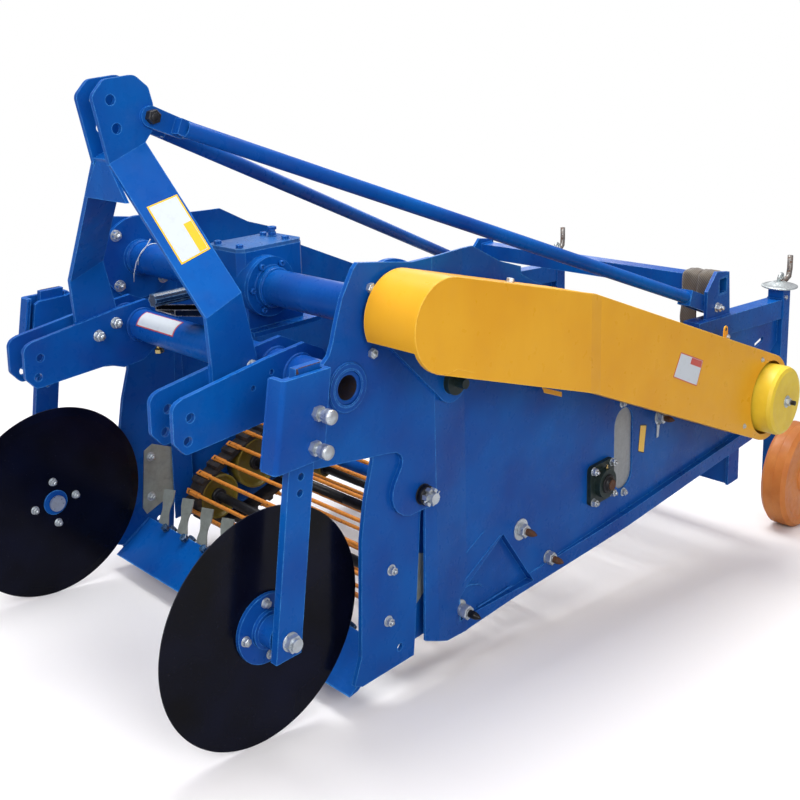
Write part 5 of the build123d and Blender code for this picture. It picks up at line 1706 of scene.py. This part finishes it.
@dataclass
class Rear(SubAssembly):
    """Rear beam, jack arms and wheels: welds, bracket bolts, sleeve caps, sling, wheel hubs and seams."""

    beam: Spot = REAR_BEAM
    beam_half: float = 30.0
    leg_y: float = WHEEL_AXIS[0]
    # bolts: the stay's on its bracket, and the small one in the sleeve
    bracket_out: float = 535.0
    stay_spot: Spot = (1985.0, 628.0)
    stay_bolt: HexBolt = HexBolt(across=24, stud=9, washer=17)
    sleeve_spot: Point = (550.0, 2498.0, 566.0)
    sleeve_bolt: HexBolt = HexBolt(across=15, height=8)
    # beads round the beam, the arm's end and the bracket
    bead_r: float = 3.6
    beam_weld_x: float = 522.5
    arm_weld_x: Spot = (490.0, 551.0)
    arm_weld_z: Spot = (487.0, 560.0)
    bracket_weld: Line = ((536, 1917, 596), (536, 2079, 586))
    # wheels: disc between two planes, seam round the tread, raised hub and axle nut
    wheel: Spot = WHEEL_AXIS
    wheel_r: float = 201.0
    wheel_in: float = 565.0
    wheel_w: float = 98.0
    seam_r: float = 1.5
    hub: Profile = ((-11, 62), (-4, 60), (3, 52), (7, 42), (8, 24), (-2, 23))
    axle_nut_x: float = 677.0
    axle_nut: HexBolt = HexBolt(across=30, stud=6, height=16)
    # webbing round the beam: width, distance from the beam's middle, and X of the two turns
    sling_w: float = 62.0
    sling_gap: float = 34.5
    sling_x: Spot = (432.0, 491.0)
    sling_threads: int = 10
    sling_steps: int = 6
    ply_mm: float = 3.0
    # sleeve cap: dished disc, eye and stop pin, with a handle
    sleeve_x: float = 520.0
    sleeve_high: float = 600.0
    cap: Profile = ((0, 63), (2, 66), (6, 66), (8, 62), (8.5, 52), (13, 40), (19, 27), (22, 20), (23, 8),
                    (23.2, 0))
    eye_r: float = 6.5
    stop_pin: Profile = ((-2, 6), (6, 6), (9, 3))
    handle_r: float = 10.5
    handle: tuple[Point, ...] = ((0, 8, 16), (4, 44, 22), (7, 61, 32), (8, 66, 62), (8, 66, 113))

    def fasteners(self) -> None:
        """Stay bolts, sleeve bolts and weld beads."""
        nuts, studs, beads = Shape(), Shape(), Shape()
        self.stay_bolt.build((self.bracket_out, *self.stay_spot), OUTWARD, nuts, studs, 9)
        self.sleeve_bolt.build(self.sleeve_spot, OUTWARD, nuts, studs, 9)
        half, (y, z) = self.beam_half + 1.5, self.beam
        square = ((-half, -half), (half, -half), (half, half), (-half, half))
        beads.bead([(self.beam_weld_x, y + dy, z + dz) for dy, dz in square], self.bead_r, True)
        front, (near, far), (low, high) = self.leg_y - 31, self.arm_weld_x, self.arm_weld_z
        beads.bead([(near, front, low), (far, front, low), (far, front, high), (near, front, high)],
                   self.bead_r, True)
        beads.bead(self.bracket_weld, self.bead_r)
        self.make_bolts(nuts, studs, "rear")
        self.make_both(beads, "rear_welds", Finish.BLUE, "blue_enamel")

    def sling_path(self) -> list[Point]:
        """Lays out the sling: a hanging tail, then two turns round the beam.

        Returns:
            Points that its middle line passes through.
        """
        (y, z), gap, (first, second) = self.beam, self.sling_gap, self.sling_x
        return [
            (first, y - gap - 6, z - 158), (first, y - gap - 12, z - 120), (first, y - gap - 7, z - 70),
            (first, y - gap - 1, z - 25), (first, y - gap, z + 22), (first, y - gap + 8, z + gap + 1),
            (first, y, z + gap + 4), (first, y + gap - 8, z + gap), (first + 3, y + gap, z + 20),
            (first + 10, y + gap, z - 22), (first + 20, y + gap - 9, z - gap), (first + 34, y, z - gap - 1),
            (first + 48, y - gap + 8, z - gap + 1), (second - 2, y - gap - 1, z - 22),
            (second, y - gap - 2, z + 20), (second, y - gap + 8, z + gap + 3), (second, y, z + gap + 7),
            (second, y + gap - 8, z + gap + 2), (second, y + gap + 1, z + 20), (second, y + gap, z - 24),
        ]

    def sling_line(self) -> list[Vector]:
        """Rounds the sling's middle line through its points.

        Returns:
            Close points of the rounded line.
        """
        guide = [Vector(p) for p in self.sling_path()]
        line = []
        for k in range(len(guide) - 1):
            p0, p1, p2, p3 = guide[max(k - 1, 0)], guide[k], guide[k + 1], guide[min(k + 2, len(guide) - 1)]
            for j in range(self.sling_steps):
                t = j / self.sling_steps
                line.append(0.5 * ((2 * p1) + (p2 - p0) * t + (2 * p0 - 5 * p1 + 4 * p2 - p3) * t * t
                                   + (3 * p1 - p0 - 3 * p2 + p3) * t ** 3))
        line.append(guide[-1])
        return line

    def sling(self) -> None:
        """Grey-brown webbing wound round the rear beam, with its end hanging down."""
        line, across = self.sling_line(), self.sling_threads
        middle = Vector((0, *self.beam))
        points, faces = [], []
        for n, p in enumerate(line):
            out = Vector((0, p.y - middle.y, p.z - middle.z)).normalized()
            width = self.sling_w * (0.5 + 0.03 * math.sin(0.33 * n))
            for k in range(across + 1):
                u = 2 * k / across - 1
                # the ply bulges between its edges and creases where the turns pull on it
                crease = 1.6 * math.sin(0.55 * n + 3.0 * u) + 1.2 * math.sin(0.21 * n - 5.0 * u)
                crown = 3.4 * (1 - u * u)
                points.append(p + Vector((u * width * 0.96, 0, 0)) + out * (crown + crease * 0.8 + 1.5))
        for n in range(len(line) - 1):
            for k in range(across):
                a = n * (across + 1) + k
                faces.append((a, a + 1, a + across + 2, a + across + 1))
        shape = Shape()
        shape.add(points, faces, True)
        piece = self.make(shape, "webbing_sling", Finish.STRAP, "webbing")
        thick = piece.modifiers.new("ply", "SOLIDIFY")
        thick.thickness = self.ply_mm / 1000
        thick.offset = 1.0
        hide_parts("lift_strap")

    def wheels(self) -> None:
        """Mould seam, raised hub and axle nut of each jack wheel."""
        for name, side in SIDES:
            seam, nut = Shape(), Shape()
            mid, end = side * (self.wheel_in + self.wheel_w * 0.5), side * (self.wheel_in + self.wheel_w)
            tread = [(mid, *on_ring(self.wheel, self.wheel_r, angle)) for angle in full_turn(72)]
            seam.tube(tread, self.seam_r, 6, True)
            seam.lathe((end, *self.wheel), (side, 0, 0), self.hub, 40, capped=False)
            self.axle_nut.build((side * self.axle_nut_x, *self.wheel), (side, 0, 0), nut, nut, 11)
            self.make(seam, f"wheel_seam_{name}", Finish.ORANGE, "orange_plastic", f"wheel_{name}")
            self.make(nut, f"wheel_nut_{name}", Finish.ZINC, "zinc_steel", f"wheel_leg_{name}")

    def cranks(self) -> None:
        """Dished sleeve caps with a lifting eye and a stout steel handle."""
        caps, grips = Shape(), Shape()
        x, y, z = self.sleeve_x, self.leg_y, self.sleeve_high
        caps.lathe((x, y, z), UPWARD, self.cap, 48)
        caps.tube([(x - 2 + 3 * math.sin(t), y + 10 + 14 * math.cos(t), z + 34 + 15 * math.sin(t))
                   for t in full_turn(28)], self.eye_r, 10, True)
        caps.lathe((x, y + 40, z + 8), UPWARD, self.stop_pin, 12)
        grips.tube([(x + dx, y + dy, z + dz) for dx, dy, dz in self.handle], self.handle_r, 14)
        self.make_both(caps, "sleeve_caps", Finish.CAP_ZINC, "zinc_steel")
        piece = self.make_both(grips, "crank_handles", Finish.STEEL, "zinc_steel")
        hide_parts("cranks")

    def build(self) -> None:
        """Dresses the whole rear."""
        self.fasteners()
        self.cranks()
        self.sling()
        self.wheels()


# ---- camera, light and stage --------------------------------------------------------------------


@dataclass(frozen=True)
class Panel:
    """A round soft lamp, in metres and watts."""

    name: str
    place: Point
    aim: Point
    size: float
    power: float


@dataclass(frozen=True)
class Studio:
    """Camera, plain soft light and a pale floor."""

    machine: MachineFrame
    # the viewpoint in machine millimetres, with the ways forward and to the right of it
    eye: Point = (2195.68, -1281.18, 1555.28)
    look: Point = (-0.70211851, 0.68419306, -0.19725479)
    right: Point = (0.7020385, 0.71145856, -0.03112326)
    lens_mm: float = 46.49
    sensor_mm: float = 36.0
    shift: Spot = (0.0316, -0.1835)
    # a broad panel overhead, one in front, one at the left side and a weak one behind
    panels: tuple[Panel, ...] = (
        Panel("sky_panel", (-0.6, 0.0, 4.8), (0.0, 0.2, 0.5), 3.2, 228.0),
        Panel("front_panel", (1.2, -4.4, 2.6), (0.0, 0.0, 0.6), 2.6, 78.0),
        Panel("side_panel", (4.6, -2.6, 2.6), (0.0, 0.2, 0.5), 2.4, 82.0),
        Panel("rear_panel", (-3.6, 4.0, 3.0), (0.0, 0.2, 0.5), 3.0, 36.0))
    # the surroundings' strength at the two ends of their rise, given as heights of a unit direction
    rise: tuple[Spot, Spot] = ((-0.25, 0.12), (0.7, 0.6))
    air: tuple[float, float, float, float] = (1.0, 0.93, 1.0, 1.0)
    floor_half: float = 40.0
    # distances at which the floor begins and ends to turn white
    fade: Spot = (1.5, 3.6)

    def camera(self) -> None:
        """Sets the camera at the reference viewpoint."""
        data = bpy.data.cameras.new("camera")
        data.lens = self.lens_mm
        data.sensor_width = self.sensor_mm
        data.shift_x, data.shift_y = self.shift
        data.clip_start, data.clip_end = 0.05, 100.0
        camera = bpy.data.objects.new("camera", data)
        turn = self.machine.matrix.to_3x3() * 1000.0
        forward = (turn @ Vector(self.look)).normalized()
        across = turn @ Vector(self.right)
        across = (across - forward * across.dot(forward)).normalized()
        up = across.cross(forward)
        basis = Matrix((across, up, -forward)).transposed()
        camera.matrix_world = Matrix.Translation(self.machine.at(*self.eye)) @ basis.to_4x4()
        bpy.context.scene.collection.objects.link(camera)
        bpy.context.scene.camera = camera

    def lights(self) -> None:
        """Hangs the soft panels."""
        for panel in self.panels:
            data = bpy.data.lights.new(panel.name, "AREA")
            data.shape = "DISK"
            data.size = panel.size
            data.energy = panel.power
            lamp = bpy.data.objects.new(panel.name, data)
            lamp.location = panel.place
            way = Vector(panel.aim) - Vector(panel.place)
            lamp.rotation_mode = "QUATERNION"
            lamp.rotation_quaternion = way.to_track_quat("-Z", "Y")
            bpy.context.scene.collection.objects.link(lamp)

    def world(self) -> None:
        """Soft surroundings that light the machine and look plain white behind it and through it."""
        world = bpy.data.worlds.new("studio")
        world.use_nodes = True
        tree = world.node_tree
        tree.nodes.clear()
        rays = add_node(tree, "ShaderNodeLightPath")
        seen = add_node(tree, "ShaderNodeMath", {"operation": "MAXIMUM"},
                        {0: rays.outputs["Is Camera Ray"], 1: rays.outputs["Is Transmission Ray"]}).outputs[0]
        up = add_node(tree, "ShaderNodeSeparateXYZ", inputs={
            0: add_node(tree, "ShaderNodeTexCoord").outputs["Generated"]}).outputs["Z"]
        # brighter overhead than below, as under an open sky
        (low, dim), (high, bright) = self.rise
        strength = add_node(tree, "ShaderNodeMapRange", inputs={
            "Value": up, "From Min": low, "From Max": high, "To Min": dim, "To Max": bright}).outputs[0]
        soft = add_node(tree, "ShaderNodeBackground", inputs={"Color": self.air, "Strength": strength})
        white = add_node(tree, "ShaderNodeBackground", inputs={"Color": grey(1.0), "Strength": 1.0})
        mix = add_node(tree, "ShaderNodeMixShader", inputs={0: seen, 1: soft.outputs[0], 2: white.outputs[0]})
        add_node(tree, "ShaderNodeOutputWorld", inputs={"Surface": mix.outputs[0]})
        bpy.context.scene.world = world

    def floor(self) -> None:
        """A pale floor that keeps the machine's shadow."""
        mesh = bpy.data.meshes.new("floor")
        half = self.floor_half
        corners = [(-half, -half, 0), (half, -half, 0), (half, half, 0), (-half, half, 0)]
        mesh.from_pydata(corners, [], [(0, 1, 2, 3)])
        floor = bpy.data.objects.new("floor", mesh)
        bpy.context.scene.collection.objects.link(floor)
        surface = Surface.start("pale_floor")
        surface.feed(Roughness=0.9, Specular_IOR_Level=0.1)
        # away from the machine the floor turns into the white backdrop, so that no horizon shows
        tree = surface.tree
        away = add_node(tree, "ShaderNodeVectorMath", {"operation": "LENGTH"}, {
            0: surface.place}).outputs["Value"]
        fade = add_node(tree, "ShaderNodeMapRange", {"interpolation_type": "SMOOTHSTEP"}, {
            "Value": away, "From Min": self.fade[0], "From Max": self.fade[1]}).outputs[0]
        seen = add_node(tree, "ShaderNodeLightPath").outputs["Is Camera Ray"]
        # the floor looks pale but throws back no more light than a concrete yard does
        surface.feed(Base_Color=surface.blend(seen, paint("C2C4C6"), paint("F8F8F7")))
        white = add_node(tree, "ShaderNodeEmission", inputs={"Color": grey(1.0), "Strength": 1.0})
        mix = add_node(tree, "ShaderNodeMixShader", inputs={
            0: surface.math("MULTIPLY", fade, seen), 1: surface.shader.outputs[0], 2: white.outputs[0]})
        output = next(n for n in tree.nodes if n.type == "OUTPUT_MATERIAL")
        tree.links.new(mix.outputs[0], output.inputs["Surface"])
        mesh.materials.append(surface.material)

    def build(self) -> None:
        """Sets up the whole stage."""
        self.world()
        self.floor()
        self.lights()
        self.camera()
        bpy.context.scene.view_settings.view_transform = "Standard"


# ---- CAD pieces' finishes -----------------------------------------------------------------------

CAD_FINISH: dict[Finish, tuple[str, ...]] = {
    Finish.BLACK: ("disc_left", "disc_right"),
    Finish.DARK_CAST: ("flange_bearings", "idler_bearing", "agitator"),
    Finish.ZINC: ("cranks", "set_bolts", "stub_axles", "pivot_studs"),
    Finish.DULL_ZINC: ("share_fingers", "deflectors"),
    Finish.COVER_ZINC: ("window_covers",),
    Finish.GUARD_BLACK: ("pto_shield",),
    Finish.SHAFT: ("pto_shaft",),
    Finish.COVER_BLUE_PAINTED_REFLECTION: ("gearbox_cover",),
    Finish.STEEL: ("drive_roller",),
    Finish.COPPER: ("web_rods",),
    Finish.RUBBER: ("web_belts",),
    Finish.OLIVE: ("web_rollers", "return_roller"),
    Finish.AMBER: ("chain_guard",),
    Finish.LEMON: ("guard_cap",),
    Finish.ORANGE: ("wheel_left", "wheel_right"),
}


def dress_cad(nodes: dict[str, bpy.types.Object], palette: Palette) -> None:
    """Gives each CAD node its finish; what has none of its own is blue enamel.

    Args:
        nodes: CAD objects by node name.
        palette: Maker of materials.
    """
    owner = {name: finish for finish, names in CAD_FINISH.items() for name in names}
    for name, piece in nodes.items():
        material = palette.get(owner.get(name, Finish.BLUE))
        piece.data.materials.clear()
        piece.data.materials.append(material)


def main() -> None:
    """Builds the dressed machine."""
    logging.basicConfig(level=logging.INFO, format="%(name)s: %(message)s")
    random.seed(11)
    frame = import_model()
    palette = Palette()
    machine = MachineFrame.from_pack()
    dress_cad(frame["nodes"], palette)
    for part in (HitchFront, DriveHead, Coulters, SidePlates, Share, Walls, ChainGuard, Rear):
        part(machine, palette).build()
    Elevator(machine, palette).build(frame["nodes"]["web_rods"])
    Studio(machine).build()


if __name__ == "__main__":
    main()
